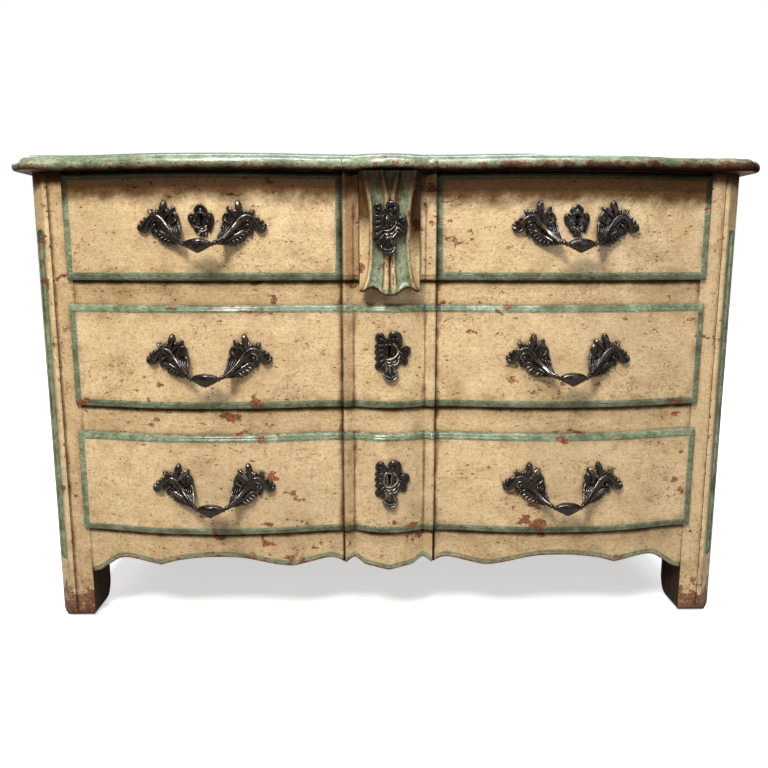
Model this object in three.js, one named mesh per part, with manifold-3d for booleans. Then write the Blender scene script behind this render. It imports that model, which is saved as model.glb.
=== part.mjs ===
// Painted commode chest with a crossbow front: two short drawers over two long ones.
// Millimetres, Z up, the front faces -Y. The origin is on the floor, in the middle of the
// width and of the overall depth, handles included.
import * as THREE from 'three';
import { mergeVertices } from 'three/addons/utils/BufferGeometryUtils.js';
import Module from 'manifold-3d';

const wasm = await Module();
wasm.setup();

// Clearances and allowances
const seatGap = 0.3;
const runningGap = 1.5;
const cutOverrun = 5;
const joinDepth = 2;
const mergeTolerance = 1e-4;

// Carcass
const carcassWidth = 1250;
const carcassDepth = 560;
const frontPostWidth = 67;
const frontPostDepth = 88;
const rearPostSize = 50;
const sidePanelThickness = 20;
const sidePanelSetback = 8;
const sidePanelLow = 92;
const backPanelThickness = 12;
const backPanelSetback = 6;
const backPanelLow = 110;
const panelTongue = 9;
const panelFrameWidth = 70;
const panelSlope = 22;
const panelSink = 6;
const railDepth = 60;
const apronBackDepth = 28;
const tenonLength = 26;
const tenonThickness = 14;
const tenonShoulder = 3;
const tenonSetback = 20;

// Heights, stacked from the floor to the top
const floorToBottomDrawer = 180;
const bottomDrawerHeight = 186;
const lowerRailShowing = 46.5;
const middleDrawerHeight = 182.5;
const upperRailShowing = 42;
const topDrawerHeight = 183;
const drawerToTopGap = 2;
const topThickness = 28;

// Top board
const topSideOverhang = 25;
const topFrontOverhang = 25;
const topRearOverhang = 12;
const topCornerWidth = 24;
const topCornerDepth = 26;
const nosingWidth = 34;
const nosingFoot = 5;

// Crossbow curve of the front, measured forward from the face of the posts
const wingBulge = 37.5;
const grooveOuter = 84;
const grooveInner = 80;
const grooveDepth = 3.5;
const wingEndProjection = 18;
const filletProjection = 25;
const arrisHalfWidth = 63;
const arrisProjection = 15.5;
const centreBulge = 34;

// Drawer fronts and boxes
const lipOverlap = 7.5;
const topLipOverlap = 12;
const lipProud = 12;
const lipMouldingWidth = 10;
const frontBackFace = 20;
const boxSideThickness = 12;
const boxBackThickness = 12;
const boxBottomThickness = 7;
const boxBottomRaise = 8;
const boxGrooveDepth = 5;
const boxHeadroom = 5;
const boxBackDrop = 8;
const boxRearClearance = 14;
const tailCount = 4;
const tailLength = 14;
const tailFlare = 2.5;
const pinCount = 3;
const pinHalfWidth = 5;
const pinFlare = 2;

// Runners
const runnerThickness = 22;
const runnerReach = 30;
const guideHeight = 26;

// Centre block between the short drawers, and its carved tongue
const blockHalfWidth = 52;
const blockProud = 8;
const blockSideGap = 1;
const tongueHalfWidth = 48;
const tongueDrop = 25;
const tongueProud = 16;
const tongueFlareProud = 9;
const tongueRibRise = 3;
const tongueChannelDepth = 5;

// Front posts
const quirkFromInner = 32;
const quirkWidth = 4;
const quirkDepth = 3;
const beadWidth = 11;
const beadRise = 1.5;
const chamferDepth = 22;
const fluteRadius = 9;
const fluteDepth = 5;
const fluteLow = 115;
const fluteHigh = 724;
const footFrontRadius = 12;
const footBackRadius = 40;
const footSideRadius = 9;

// Apron
const apronEdgeHeight = 7;
const apronEdgeSetback = 4;
const apronLowest = 92;
const apronHighest = 133;

// Cast handles
const handleHalfWidth = 107;
const handleRise = 74;
const handleDrop = 31.5;
const topHandleFromEnd = 248.5;
const longHandleFromEnd = 252.5;
const leafThickness = 6;
const handleProjection = 36;
const armHalfWidth = 7;
const armHalfDepth = 5;
const bossLength = 52;
const bossRadius = 12;

// Keyhole plates, the blind ornament and the locks
const smallPlateHalfWidth = 22;
const smallPlateHalfHeight = 28;
const smallPlateRise = 9.5;
const largePlateHalfWidth = 31.5;
const largePlateHalfHeight = 46;
const largePlateRise = 1.5;
const largeKeyRise = 10;
const ornamentHalfWidth = 29.5;
const ornamentHalfHeight = 46;
const ornamentDrop = 4.5;
const plateThickness = 3.5;
const plateReliefThickness = 7;
const keyBarrelRadius = 3.4;
const keySlotWidth = 3.6;
const keySlotDrop = 11;
const lockWidth = 66;
const lockHeight = 88;
const lockDepth = 14;
const boltWidth = 34;
const boltThickness = 6;
const boltHeight = 40;
const boltTravel = 8;
const boltClearance = 0.6;

// Levels and edges that follow from the sizes above
const openingHalfWidth = carcassWidth / 2 - frontPostWidth;
const bottomLow = floorToBottomDrawer;
const bottomHigh = bottomLow + bottomDrawerHeight;
const middleLow = bottomHigh + lowerRailShowing;
const middleHigh = middleLow + middleDrawerHeight;
const topLow = middleHigh + upperRailShowing;
const topHigh = topLow + topDrawerHeight;
const topBoardLow = topHigh + drawerToTopGap;
const carcassTop = topBoardLow - seatGap;
const rearPostFace = carcassDepth - rearPostSize;
const backPanelFace = carcassDepth - backPanelSetback - backPanelThickness;
const boxRear = backPanelFace - boxRearClearance;
const sidePanelOuter = carcassWidth / 2 - sidePanelSetback;
const sidePanelInner = sidePanelOuter - sidePanelThickness;
const drawerInnerEnd = blockHalfWidth + blockSideGap;
const rearReach = carcassDepth + topRearOverhang;
const lipEnd = openingHalfWidth + lipOverlap;
const topHandleOffset = lipEnd - topHandleFromEnd;
const longHandleOffset = lipEnd - longHandleFromEnd;
const lockFace = frontBackFace - lockDepth;
const boltFace = lockFace + (lockDepth - boltThickness) / 2;

// Each outline point is a share of the sizes it follows
const wingShares = [
  [0, 0], [0.07, 0.12], [0.16, 0.41], [0.26, 0.71], [0.37, 0.9], [0.54, 1], [0.69, 0.945], [0.8, 0.8],
  [0.9, 0.59], [1, 0.48],
];
const centreStationShares = [0.72, 0.36, 0];
const lipProfileShares = [[0, 0.3], [0.2, 0.72], [1, 1]];
const nosingShares = [[0, 0.16], [0.1, 0.03], [0.3, 0], [0.52, 0.05], [0.75, 0.2], [0.9, 0.5], [1, 1]];
const apronShares = [
  [1, 0], [0.98, 0.03], [0.94, 0.38], [0.9, 0.72], [0.86, 0.78], [0.755, 0.57], [0.7, 0.8], [0.63, 0.95],
  [0.56, 1], [0.48, 0.94], [0.33, 0.5], [0.27, 0.6], [0.2, 0.78], [0.17, 0.72], [0.148, 0.54], [0.113, 0.76],
  [0.08, 0.5], [0.05, 0.44], [0.015, 0.34], [0, 0.3],
];
const tongueWidthShares = [
  [0, 0.98], [0.08, 0.97], [0.16, 0.86], [0.3, 0.74], [0.5, 0.7], [0.7, 0.7], [0.86, 0.82], [0.94, 0.95],
  [1, 1],
];
const tongueCrossShares = [
  [-1, 0.1], [-0.86, 0.9], [-0.6, 0.2], [-0.34, 0.3], [-0.2, 1], [-0.04, 0.5],
  [0.04, 0.5], [0.2, 1], [0.34, 0.3], [0.6, 0.2], [0.86, 0.9], [1, 0.1],
];
const tongueLobeShares = [0.45, 0.4, 0, 0.1, 0.7, 1, 1, 0.7, 0.1, 0, 0.4, 0.45];
const leafOutlineShares = [
  [-0.97, 0.44], [-0.93, 0.31], [-0.84, 0.26], [-0.75, 0.36], [-0.72, 0.25], [-0.65, 0.12], [-0.57, 0],
  [-0.47, -0.07], [-0.37, -0.04], [-0.31, 0.04], [-0.27, 0.19], [-0.26, 0.42], [-0.28, 0.6], [-0.33, 0.72],
  [-0.38, 0.86], [-0.45, 0.78], [-0.48, 0.92], [-0.54, 1], [-0.58, 0.87], [-0.6, 0.74], [-0.65, 0.79],
  [-0.74, 0.83], [-0.75, 0.66], [-0.82, 0.61], [-0.89, 0.56],
];
const armRouteShares = [
  [-0.84, 0.38, 0.1], [-0.68, 0.58, 0.28], [-0.52, 0.52, 0.5], [-0.4, 0.28, 0.78], [-0.28, 0.06, 0.97],
  [-0.16, 0, 1],
];
const bossShares = [
  [0, -1], [0.36, -1], [0.5, -0.9], [0.36, -0.8], [0.8, -0.35], [1, 0], [0.8, 0.35], [0.36, 0.8], [0.5, 0.9],
  [0.36, 1], [0, 1],
];
const smallPlateShares = [
  [0, 1], [0.3, 0.78], [0.48, 0.56], [0.42, 0.4], [0.7, 0.5], [0.95, 0.34], [1, 0.04], [0.86, -0.22],
  [0.6, -0.4], [0.62, -0.62], [0.34, -0.66], [0.3, -1], [-0.3, -1], [-0.34, -0.66],
  [-0.62, -0.62], [-0.6, -0.4],
  [-0.86, -0.22], [-1, 0.04], [-0.95, 0.34], [-0.7, 0.5], [-0.42, 0.4], [-0.48, 0.56], [-0.3, 0.78],
];
const largePlateShares = [
  [-0.92, 0.78], [-0.75, 0.9], [-0.51, 0.9], [-0.36, 0.72], [-0.21, 0.82], [-0.12, 0.95], [0.15, 1],
  [0.45, 0.88], [0.54, 0.62], [0.54, 0.43], [0.96, 0.38], [0.98, 0.14], [0.84, -0.14], [0.66, -0.28],
  [0.42, -0.28], [0.33, -0.5], [0.3, -0.68], [0.06, -0.82], [0, -1], [-0.09, -0.86], [-0.48, -0.76],
  [-0.57, -0.6], [-0.48, -0.48], [-0.84, -0.38], [-0.98, -0.26], [-0.99, 0.1], [-0.99, 0.34], [-0.87, 0.54],
];
const reliefShare = 0.62;
const tailWidthShare = 0.5;
const beadShoulderShare = 1 / 3;

// Finishes
const paint = (color, roughness) => new THREE.MeshStandardMaterial({ color, roughness, metalness: 0 });
const creamPaint = () => paint(0xd9bd8a, 0.55);
const greenPaint = () => paint(0x6f8f72, 0.5);
const oldOak = () => paint(0x8a6a45, 0.75);
const bronze = () => new THREE.MeshStandardMaterial({ color: 0x2e2622, roughness: 0.4, metalness: 0.9 });
const iron = () => new THREE.MeshStandardMaterial({ color: 0x4a4644, roughness: 0.55, metalness: 0.9 });

// Solids: closed geometry in, joined or cut geometry out
function solidOf(geometry) {
  const bare = geometry.clone();
  bare.deleteAttribute('normal');
  bare.deleteAttribute('uv');
  const merged = mergeVertices(bare, mergeTolerance);
  return new wasm.Manifold(new wasm.Mesh({
    numProp: 3,
    vertProperties: Float32Array.from(merged.attributes.position.array),
    triVerts: Uint32Array.from(merged.index.array),
  }));
}

function geometryOf(solid) {
  const mesh = solid.getMesh();
  const geometry = new THREE.BufferGeometry();
  geometry.setAttribute('position', new THREE.BufferAttribute(mesh.vertProperties, 3));
  geometry.setIndex(new THREE.BufferAttribute(mesh.triVerts, 1));
  return geometry;
}

function shaped(base, { joined = [], kept = [], cut = [] }) {
  let solid = solidOf(base);
  for (const geometry of joined) solid = solid.add(solidOf(geometry));
  for (const geometry of kept) solid = solid.intersect(solidOf(geometry));
  for (const geometry of cut) solid = solid.subtract(solidOf(geometry));
  return geometryOf(solid);
}

// Simple shapes, each placed by its limits
function block([x0, x1], [y0, y1], [z0, z1]) {
  const geometry = new THREE.BoxGeometry(x1 - x0, y1 - y0, z1 - z0);
  return geometry.translate((x0 + x1) / 2, (y0 + y1) / 2, (z0 + z1) / 2);
}

function extruded(points, depth, axes) {
  const shape = new THREE.Shape(points.map(([a, b]) => new THREE.Vector2(a, b)));
  const geometry = new THREE.ExtrudeGeometry(shape, { depth, bevelEnabled: false });
  return geometry.applyMatrix4(new THREE.Matrix4().makeBasis(...axes));
}

const axisX = new THREE.Vector3(1, 0, 0);
const axisY = new THREE.Vector3(0, 1, 0);
const axisZ = new THREE.Vector3(0, 0, 1);
const towardsFront = new THREE.Vector3(0, -1, 0);

// Plan outline in X and Y, raised from z0 to z1
function planPrism(points, [z0, z1]) {
  return extruded(points, z1 - z0, [axisX, axisY, axisZ]).translate(0, 0, z0);
}

// Side outline in Y and Z, from x0 to x1
function sidePrism(points, [x0, x1]) {
  return extruded(points, x1 - x0, [axisY, axisZ, axisX]).translate(x0, 0, 0);
}

// Front outline in X and Z, from y1 forward to y0
function frontPrism(points, [y0, y1]) {
  return extruded(points, y1 - y0, [axisX, axisZ, towardsFront]).translate(0, y1, 0);
}

function mirrored(geometry) {
  const copy = (geometry.index ? geometry.toNonIndexed() : geometry.clone()).scale(-1, 1, 1);
  const position = copy.attributes.position;
  const first = new THREE.Vector3();
  const last = new THREE.Vector3();
  for (let corner = 0; corner < position.count; corner += 3) {
    first.fromBufferAttribute(position, corner);
    last.fromBufferAttribute(position, corner + 2);
    position.setXYZ(corner, last.x, last.y, last.z);
    position.setXYZ(corner + 2, first.x, first.y, first.z);
  }
  return copy;
}

function shareCurve(shares, share) {
  const next = shares.findIndex(([at]) => at >= share);
  if (next <= 0) return shares.at(next)[1];
  const [[a, low], [b, high]] = [shares[next - 1], shares[next]];
  return low + (high - low) * (share - a) / (b - a);
}

// Crossbow curve: how far the front stands forward of the posts at any x
const centreAt = (x) => arrisProjection + (centreBulge - arrisProjection) * (1 - (x / arrisHalfWidth) ** 2);
const curvePoints = [
  ...wingShares.slice(0, -1).map(([along, rise]) => [
    openingHalfWidth + (grooveOuter - openingHalfWidth) * along,
    wingBulge * rise,
  ]),
  [grooveOuter, wingEndProjection],
  [(grooveOuter + grooveInner) / 2, wingEndProjection - grooveDepth],
  [grooveInner, filletProjection],
  [arrisHalfWidth, arrisProjection],
  ...centreStationShares.map((share) => [arrisHalfWidth * share, centreAt(arrisHalfWidth * share)]),
];

function frontCurve(x) {
  const place = Math.abs(x);
  const next = curvePoints.findIndex(([at]) => at <= place);
  if (next === 0) return 0;
  const [[a, high], [b, low]] = [curvePoints[next - 1], curvePoints[next]];
  return low + (high - low) * (place - b) / (a - b);
}

// Face of the drawer fronts, and the foremost point of the chest, on the bosses of the handles
const frontFace = (x) => frontCurve(x) + lipProud;
const bossFace = Math.max(frontFace(topHandleOffset), frontFace(longHandleOffset));
const frontReach = bossFace + handleProjection + bossRadius;

// Places along x where a board between two ends needs a column, with any extra ones
function columns(from, to, extra = []) {
  const curve = curvePoints.flatMap(([x]) => (x === 0 ? [x] : [-x, x]));
  const fixed = [from, to, ...extra];
  const apart = (x) => fixed.every((place) => Math.abs(place - x) > seatGap);
  const clear = curve.filter((x) => x > from && x < to && apart(x));
  return [...fixed, ...clear].sort((a, b) => a - b);
}

// A board on a grid of columns and rows; heightAt, frontAt and backAt place its surfaces
function curvedBoard(xs, rowCount, heightAt, frontAt, backAt) {
  const columnCount = xs.length - 1;
  const geometry = new THREE.BoxGeometry(1, 1, 1, columnCount, 1, rowCount);
  const position = geometry.attributes.position;
  for (let index = 0; index < position.count; index += 1) {
    const x = xs[Math.round((position.getX(index) + 0.5) * columnCount)];
    const row = Math.round((position.getZ(index) + 0.5) * rowCount);
    const z = heightAt(x, row);
    const y = position.getY(index) < 0 ? -frontAt(x, z, row) : backAt(x, z, row);
    position.setXYZ(index, x, y, z);
  }
  return geometry;
}

function levelBoard(xs, zs, frontAt, backAt) {
  return curvedBoard(xs, zs.length - 1, (x, row) => zs[row], frontAt, backAt);
}

// The chest, placed so that the origin is in the middle of the overall depth
const chest = new THREE.Group();
chest.position.y = (frontReach - rearReach) / 2;

function addPiece(name, geometry, material) {
  geometry.computeVertexNormals();
  const mesh = new THREE.Mesh(geometry, material);
  mesh.name = name;
  chest.add(mesh);
}

// Top board: the front follows the crossbow curve, the corners are cut, the edge is a thumb moulding
function topBoard() {
  const half = carcassWidth / 2 + topSideOverhang;
  const cornerStart = half - topCornerWidth;
  const front = columns(-openingHalfWidth, openingHalfWidth)
    .filter((x) => Math.abs(x) > grooveOuter || Math.abs(x) <= arrisHalfWidth)
    .map((x) => [x, -frontCurve(x) - topFrontOverhang]);
  const outline = [
    [-half, rearReach], [-half, topCornerDepth - topFrontOverhang], [-cornerStart, -topFrontOverhang],
    ...front,
    [cornerStart, -topFrontOverhang], [half, topCornerDepth - topFrontOverhang], [half, rearReach],
  ];
  const shape = new THREE.Shape(outline.map(([x, y]) => new THREE.Vector2(x, y)));
  const steps = nosingShares.length - 1;
  const geometry = new THREE.ExtrudeGeometry(shape, { depth: steps, steps, bevelEnabled: false });
  const position = geometry.attributes.position;
  for (let index = 0; index < position.count; index += 1) {
    const [rise, inset] = nosingShares[Math.round(position.getZ(index))];
    const setback = rise === 0 ? nosingFoot : nosingWidth * inset;
    const frontness = (rearReach - position.getY(index)) / (rearReach + topFrontOverhang);
    position.setXYZ(
      index,
      position.getX(index) * (1 - setback / half),
      position.getY(index) + setback * frontness,
      topBoardLow + topThickness * rise,
    );
  }
  addPiece('top_board', geometry, greenPaint());
}

// Tenons of the rails and the mortises that take them, at each end of a rail
const tenonHeights = (low, high) => [low + tenonShoulder, high - tenonShoulder];

function tenon([low, high], gap) {
  const grown = ([a, b]) => [a - gap, b + gap];
  return block(
    [openingHalfWidth - joinDepth, openingHalfWidth + tenonLength + gap],
    grown([tenonSetback, tenonSetback + tenonThickness]),
    grown(tenonHeights(low, high)),
  );
}

const railRanges = {
  top_front_rail: [topHigh - topLipOverlap, carcassTop],
  upper_front_rail: [middleHigh - lipOverlap, topLow + lipOverlap],
  lower_front_rail: [bottomHigh - lipOverlap, middleLow + lipOverlap],
};
const apronTop = bottomLow + lipOverlap;
const apronTenonRange = [apronHighest, apronTop];

// Front post: bead, quirk and canted corner with a stopped flute, on a rounded foot
function frontPost() {
  const inner = openingHalfWidth;
  const outer = inner + frontPostWidth;
  const quirk = inner + quirkFromInner;
  const bead = quirk + quirkWidth;
  const chamfer = bead + beadWidth;
  const shoulder = beadWidth * beadShoulderShare;
  const section = [
    [inner, 0], [quirk, 0], [quirk + quirkWidth / 2, quirkDepth], [bead, 0],
    [bead + shoulder, -beadRise], [chamfer - shoulder, -beadRise], [chamfer, 0],
    [outer, chamferDepth], [outer, frontPostDepth], [inner, frontPostDepth],
  ];
  const foot = new THREE.Shape();
  foot.moveTo(-cutOverrun, carcassTop);
  foot.lineTo(-cutOverrun, footFrontRadius);
  foot.lineTo(0, footFrontRadius);
  foot.absarc(footFrontRadius, footFrontRadius, footFrontRadius, Math.PI, Math.PI * 1.5, false);
  foot.absarc(frontPostDepth - footBackRadius, footBackRadius, footBackRadius, Math.PI * 1.5, 0, false);
  foot.lineTo(frontPostDepth, carcassTop);
  const across = new THREE.Shape();
  across.moveTo(inner, carcassTop);
  across.lineTo(inner, footSideRadius);
  across.absarc(inner + footSideRadius, footSideRadius, footSideRadius, Math.PI, Math.PI * 1.5, false);
  across.absarc(outer - footSideRadius, footSideRadius, footSideRadius, Math.PI * 1.5, 0, false);
  across.lineTo(outer, carcassTop);
  const arcPoints = (shape) => shape.getPoints(3).map(({ x, y }) => [x, y]);
  const away = new THREE.Vector2(chamferDepth, chamfer - outer).setLength(fluteRadius - fluteDepth);
  const flute = new THREE.CapsuleGeometry(fluteRadius, fluteHigh - fluteLow - 2 * fluteRadius, 3, 10)
    .rotateX(Math.PI / 2)
    .translate((chamfer + outer) / 2 + away.x, chamferDepth / 2 + away.y, (fluteHigh + fluteLow) / 2);
  const panelGroove = block(
    [sidePanelInner - seatGap, sidePanelOuter + seatGap],
    [frontPostDepth - panelTongue - seatGap, frontPostDepth + cutOverrun],
    [sidePanelLow - seatGap, carcassTop + cutOverrun],
  );
  return shaped(planPrism(section, [0, carcassTop]), {
    kept: [
      sidePrism(arcPoints(foot), [inner - cutOverrun, outer + cutOverrun]),
      frontPrism(arcPoints(across), [-cutOverrun, frontPostDepth + cutOverrun]),
    ],
    cut: [
      flute, panelGroove,
      ...Object.values(railRanges).map((range) => tenon(range, seatGap)),
      tenon(apronTenonRange, seatGap),
    ],
  });
}

// Rear post: square, grooved for the side and back panels
function rearPost() {
  const outer = carcassWidth / 2;
  const inner = outer - rearPostSize;
  return shaped(block([inner, outer], [rearPostFace, carcassDepth], [0, carcassTop]), {
    cut: [
      block(
        [sidePanelInner - seatGap, sidePanelOuter + seatGap],
        [rearPostFace - cutOverrun, rearPostFace + panelTongue + seatGap],
        [sidePanelLow - seatGap, carcassTop + cutOverrun],
      ),
      block(
        [inner - cutOverrun, inner + panelTongue + seatGap],
        [backPanelFace - seatGap, backPanelFace + backPanelThickness + seatGap],
        [backPanelLow - seatGap, carcassTop + cutOverrun],
      ),
    ],
  });
}

// Side panel: one board with a sunk frame line round a raised field, outer face to +X
function sidePanel() {
  const low = sidePanelLow;
  const near = frontPostDepth - panelTongue;
  const far = rearPostFace + panelTongue;
  const border = (from, to) => {
    const frame = panelFrameWidth + panelTongue;
    return [from, from + frame, from + frame + panelSlope, to - frame - panelSlope, to - frame, to];
  };
  const ys = border(near, far);
  const zs = border(low - panelTongue, carcassTop + panelTongue)
    .map((z) => THREE.MathUtils.clamp(z, low, carcassTop));
  const last = ys.length - 1;
  const geometry = new THREE.BoxGeometry(1, 1, 1, 1, last, last);
  const position = geometry.attributes.position;
  for (let index = 0; index < position.count; index += 1) {
    const column = Math.round((position.getY(index) + 0.5) * last);
    const row = Math.round((position.getZ(index) + 0.5) * last);
    const depth = Math.min(column, row, last - column, last - row);
    const outward = position.getX(index) > 0;
    const x = outward ? sidePanelOuter - (depth === 1 ? panelSink : 0) : sidePanelInner;
    position.setXYZ(index, x, ys[column], zs[row]);
  }
  return geometry;
}

function backPanel() {
  const reach = carcassWidth / 2 - rearPostSize + panelTongue;
  return block(
    [-reach, reach],
    [backPanelFace, backPanelFace + backPanelThickness],
    [backPanelLow, carcassTop],
  );
}

// Mortise for a lock bolt, in the underside of the rail above the drawer
function boltMortise(x, railLow) {
  const halfWidth = boltWidth / 2 + boltClearance;
  return block(
    [x - halfWidth, x + halfWidth],
    [boltFace - boltClearance, boltFace + boltThickness + boltClearance],
    [railLow - cutOverrun, railLow + boltTravel],
  );
}

function railBetweenPosts([low, high], depth, cuts) {
  const body = levelBoard(columns(-openingHalfWidth, openingHalfWidth), [low, high], frontCurve, () => depth);
  return shaped(body, {
    joined: [tenon([low, high], 0), mirrored(tenon([low, high], 0))],
    cut: [...endTrims([low, high]), ...cuts],
  });
}

// The shoulders of a rail stop just short of the posts, round the tenons
function endTrims([low, high]) {
  const start = openingHalfWidth - seatGap;
  const end = openingHalfWidth + seatGap;
  const slice = block(
    [start, end],
    [-wingBulge - cutOverrun, frontPostDepth + cutOverrun],
    [low - cutOverrun, high + cutOverrun],
  );
  const trim = shaped(slice, { cut: [tenon([low, high], 0)] });
  return [trim, mirrored(trim)];
}

// Apron: lower edge with arches, cusps and lobes, rounded in front
const apronHeightAt = (share) => apronLowest + (apronHighest - apronLowest) * share;
function apron() {
  const edges = apronShares.flatMap(([along]) => (along === 0 ? [0] : [-along, along]));
  const reach = openingHalfWidth - seatGap;
  const between = edges.filter((along) => Math.abs(along) < 1).map((along) => along * reach);
  const xs = columns(-reach, reach, between);
  const rising = [...apronShares].reverse();
  const lowAt = (x) => apronHeightAt(shareCurve(rising, Math.min(Math.abs(x) / reach, 1)));
  const heights = (x) => [lowAt(x), lowAt(x) + apronEdgeHeight, apronTop];
  const body = curvedBoard(
    xs, 2, (x, row) => heights(x)[row],
    (x, z, row) => frontCurve(x) - (row === 0 ? apronEdgeSetback : 0),
    () => apronBackDepth,
  );
  const ends = tenon(apronTenonRange, 0);
  return shaped(body, { joined: [ends, mirrored(ends)] });
}

// Centre block between the short drawers
const blockLow = railRanges.upper_front_rail[1] + seatGap;
const blockHigh = railRanges.top_front_rail[0] - seatGap;
function centreBlock() {
  const xs = columns(-blockHalfWidth, blockHalfWidth);
  return levelBoard(xs, [blockLow, blockHigh], (x) => frontCurve(x) + blockProud, () => railDepth);
}

// Carved tongue: flared top and foot, ribs down the middle, three lobes below
const tongueHigh = topHigh - drawerToTopGap;
const tongueLow = topLow - tongueDrop;
function tongueProjection(share) {
  const flare = Math.cos(Math.PI * share) ** 4;
  return centreBulge + blockProud + tongueProud + tongueFlareProud * flare;
}
function carvedTongue() {
  const rows = tongueWidthShares.length - 1;
  const across = tongueCrossShares;
  const lobeDrop = tongueDrop / 2;
  const unit = across.map(([share]) => share);
  const geometry = curvedBoard(
    unit, rows,
    (u, row) => {
      const column = unit.indexOf(u);
      const rowShare = tongueWidthShares[row][0];
      const low = tongueLow + lobeDrop * (1 - tongueLobeShares[column]);
      return low + (tongueHigh - low) * rowShare;
    },
    (u, z) => {
      const share = (z - tongueLow) / (tongueHigh - tongueLow);
      const [, relief] = across[unit.indexOf(u)];
      const edge = Math.abs(u) === 1 ? tongueProud - joinDepth : 0;
      const ribs = (tongueChannelDepth + tongueRibRise) * (1 - relief);
      return tongueProjection(share) - Math.max(edge, ribs);
    },
    () => -centreBulge - blockProud - seatGap,
  );
  const position = geometry.attributes.position;
  for (let index = 0; index < position.count; index += 1) {
    const share = (position.getZ(index) - tongueLow) / (tongueHigh - tongueLow);
    const width = tongueHalfWidth * shareCurve(tongueWidthShares, THREE.MathUtils.clamp(share, 0, 1));
    position.setX(index, position.getX(index) * width);
  }
  const waistShare = Math.min(...tongueWidthShares.map(([, width]) => width));
  const rootHalf = tongueHalfWidth * waistShare - joinDepth;
  const root = levelBoard(
    columns(-rootHalf, rootHalf), [tongueLow + tongueDrop, tongueHigh],
    () => centreBulge + blockProud + joinDepth, (x) => -frontCurve(x) - seatGap,
  );
  const blockSpace = levelBoard(
    columns(-tongueHalfWidth, tongueHalfWidth), [blockLow - seatGap, blockHigh + seatGap],
    (x) => frontCurve(x) + blockProud + seatGap, () => 0,
  );
  return shaped(geometry, { joined: [root], cut: [blockSpace] });
}

// Runners: an L beside each opening, and an inverted T between the short drawers
function sideRunner(openingLow) {
  const outer = sidePanelInner - seatGap;
  const section = [
    [openingHalfWidth - runnerReach, openingLow - runnerThickness], [outer, openingLow - runnerThickness],
    [outer, openingLow + guideHeight], [openingHalfWidth, openingLow + guideHeight],
    [openingHalfWidth, openingLow], [openingHalfWidth - runnerReach, openingLow],
  ];
  return frontPrism(section, [frontPostDepth + seatGap, rearPostFace - seatGap]);
}

function centreRunner(openingLow) {
  const reach = blockHalfWidth + runnerReach;
  const section = [
    [-reach, openingLow - runnerThickness], [reach, openingLow - runnerThickness], [reach, openingLow],
    [blockHalfWidth, openingLow], [blockHalfWidth, openingLow + guideHeight],
    [-blockHalfWidth, openingLow + guideHeight], [-blockHalfWidth, openingLow], [-reach, openingLow],
  ];
  return frontPrism(section, [railDepth + seatGap, backPanelFace - seatGap]);
}

// Keyhole outline round a centre, and the hole it makes through a depth
function keyhole(x, z, [y0, y1]) {
  const shape = new THREE.Shape();
  const half = keySlotWidth / 2;
  const angle = Math.asin(half / keyBarrelRadius);
  shape.moveTo(x + half, z - keySlotDrop);
  shape.lineTo(x + half, z - keyBarrelRadius * Math.cos(angle));
  shape.absarc(x, z, keyBarrelRadius, angle - Math.PI / 2, Math.PI * 1.5 - angle, false);
  shape.lineTo(x - half, z - keySlotDrop);
  return frontPrism(shape.getPoints(3).map(({ x: px, y: pz }) => [px, pz]), [y0, y1]);
}

// The drawers: extents of the lip, of the box, and what is fixed to the front
const drawers = [
  { name: 'top_left', low: topLow, high: topHigh, side: -1 },
  { name: 'top_right', low: topLow, high: topHigh, side: 1 },
  { name: 'middle', low: middleLow, high: middleHigh, side: 0 },
  { name: 'bottom', low: bottomLow, high: bottomHigh, side: 0 },
].map((drawer) => {
  const { side, low, high } = drawer;
  const outerEnd = openingHalfWidth - runningGap;
  const innerEnd = drawerInnerEnd;
  const topOverlap = side === 0 ? lipOverlap : topLipOverlap;
  const extent = (end) => (side === 0 ? [-end, end] : [innerEnd * side, end * side].sort((a, b) => a - b));
  const middle = (low + high) / 2;
  const lockX = side * topHandleOffset;
  return {
    ...drawer,
    lip: extent(lipEnd),
    box: extent(outerEnd),
    openingLow: low + lipOverlap,
    openingHigh: high - topOverlap,
    handleX: side === 0 ? [-longHandleOffset, longHandleOffset] : [lockX],
    handleZ: middle - handleDrop,
    plateZ: middle + (side === 0 ? largePlateRise : smallPlateRise),
    keyZ: middle + (side === 0 ? largePlateRise + largeKeyRise : smallPlateRise + keySlotDrop / 2),
    lockX,
  };
});

// Tails of a drawer side that enter the front: outline points from low to high
function tailPoints(low, high, gap) {
  const pitch = (high - low) / tailCount;
  const half = pitch * tailWidthShare / 2;
  return Array.from({ length: tailCount }, (_, index) => {
    const centre = low + pitch * (index + 0.5);
    return [
      [frontBackFace + gap, centre - half - gap],
      [frontBackFace - tailLength - gap, centre - half - tailFlare - gap],
      [frontBackFace - tailLength - gap, centre + half + tailFlare + gap],
      [frontBackFace + gap, centre + half + gap],
    ];
  });
}

// Pins of the drawer back, which pass through the rear ends of the sides
function pinPoints(low, high, gap) {
  const pitch = (high - low) / pinCount;
  return Array.from({ length: pinCount }, (_, index) => {
    const centre = low + pitch * (index + 0.5);
    const outer = pinHalfWidth + gap;
    const inner = pinHalfWidth + pinFlare + gap;
    return [
      [boxRear + gap, centre + outer], [boxRear - boxBackThickness - gap, centre + inner],
      [boxRear - boxBackThickness - gap, centre - inner], [boxRear + gap, centre - outer],
    ];
  });
}

function boxLevels({ openingLow, openingHigh }) {
  const low = openingLow + seatGap;
  const high = openingHigh - boxHeadroom;
  const bottomLevel = low + boxBottomRaise;
  const backLow = bottomLevel + boxBottomThickness + seatGap;
  return { low, high, bottomLevel, backLow, backHigh: high - boxBackDrop };
}

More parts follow.
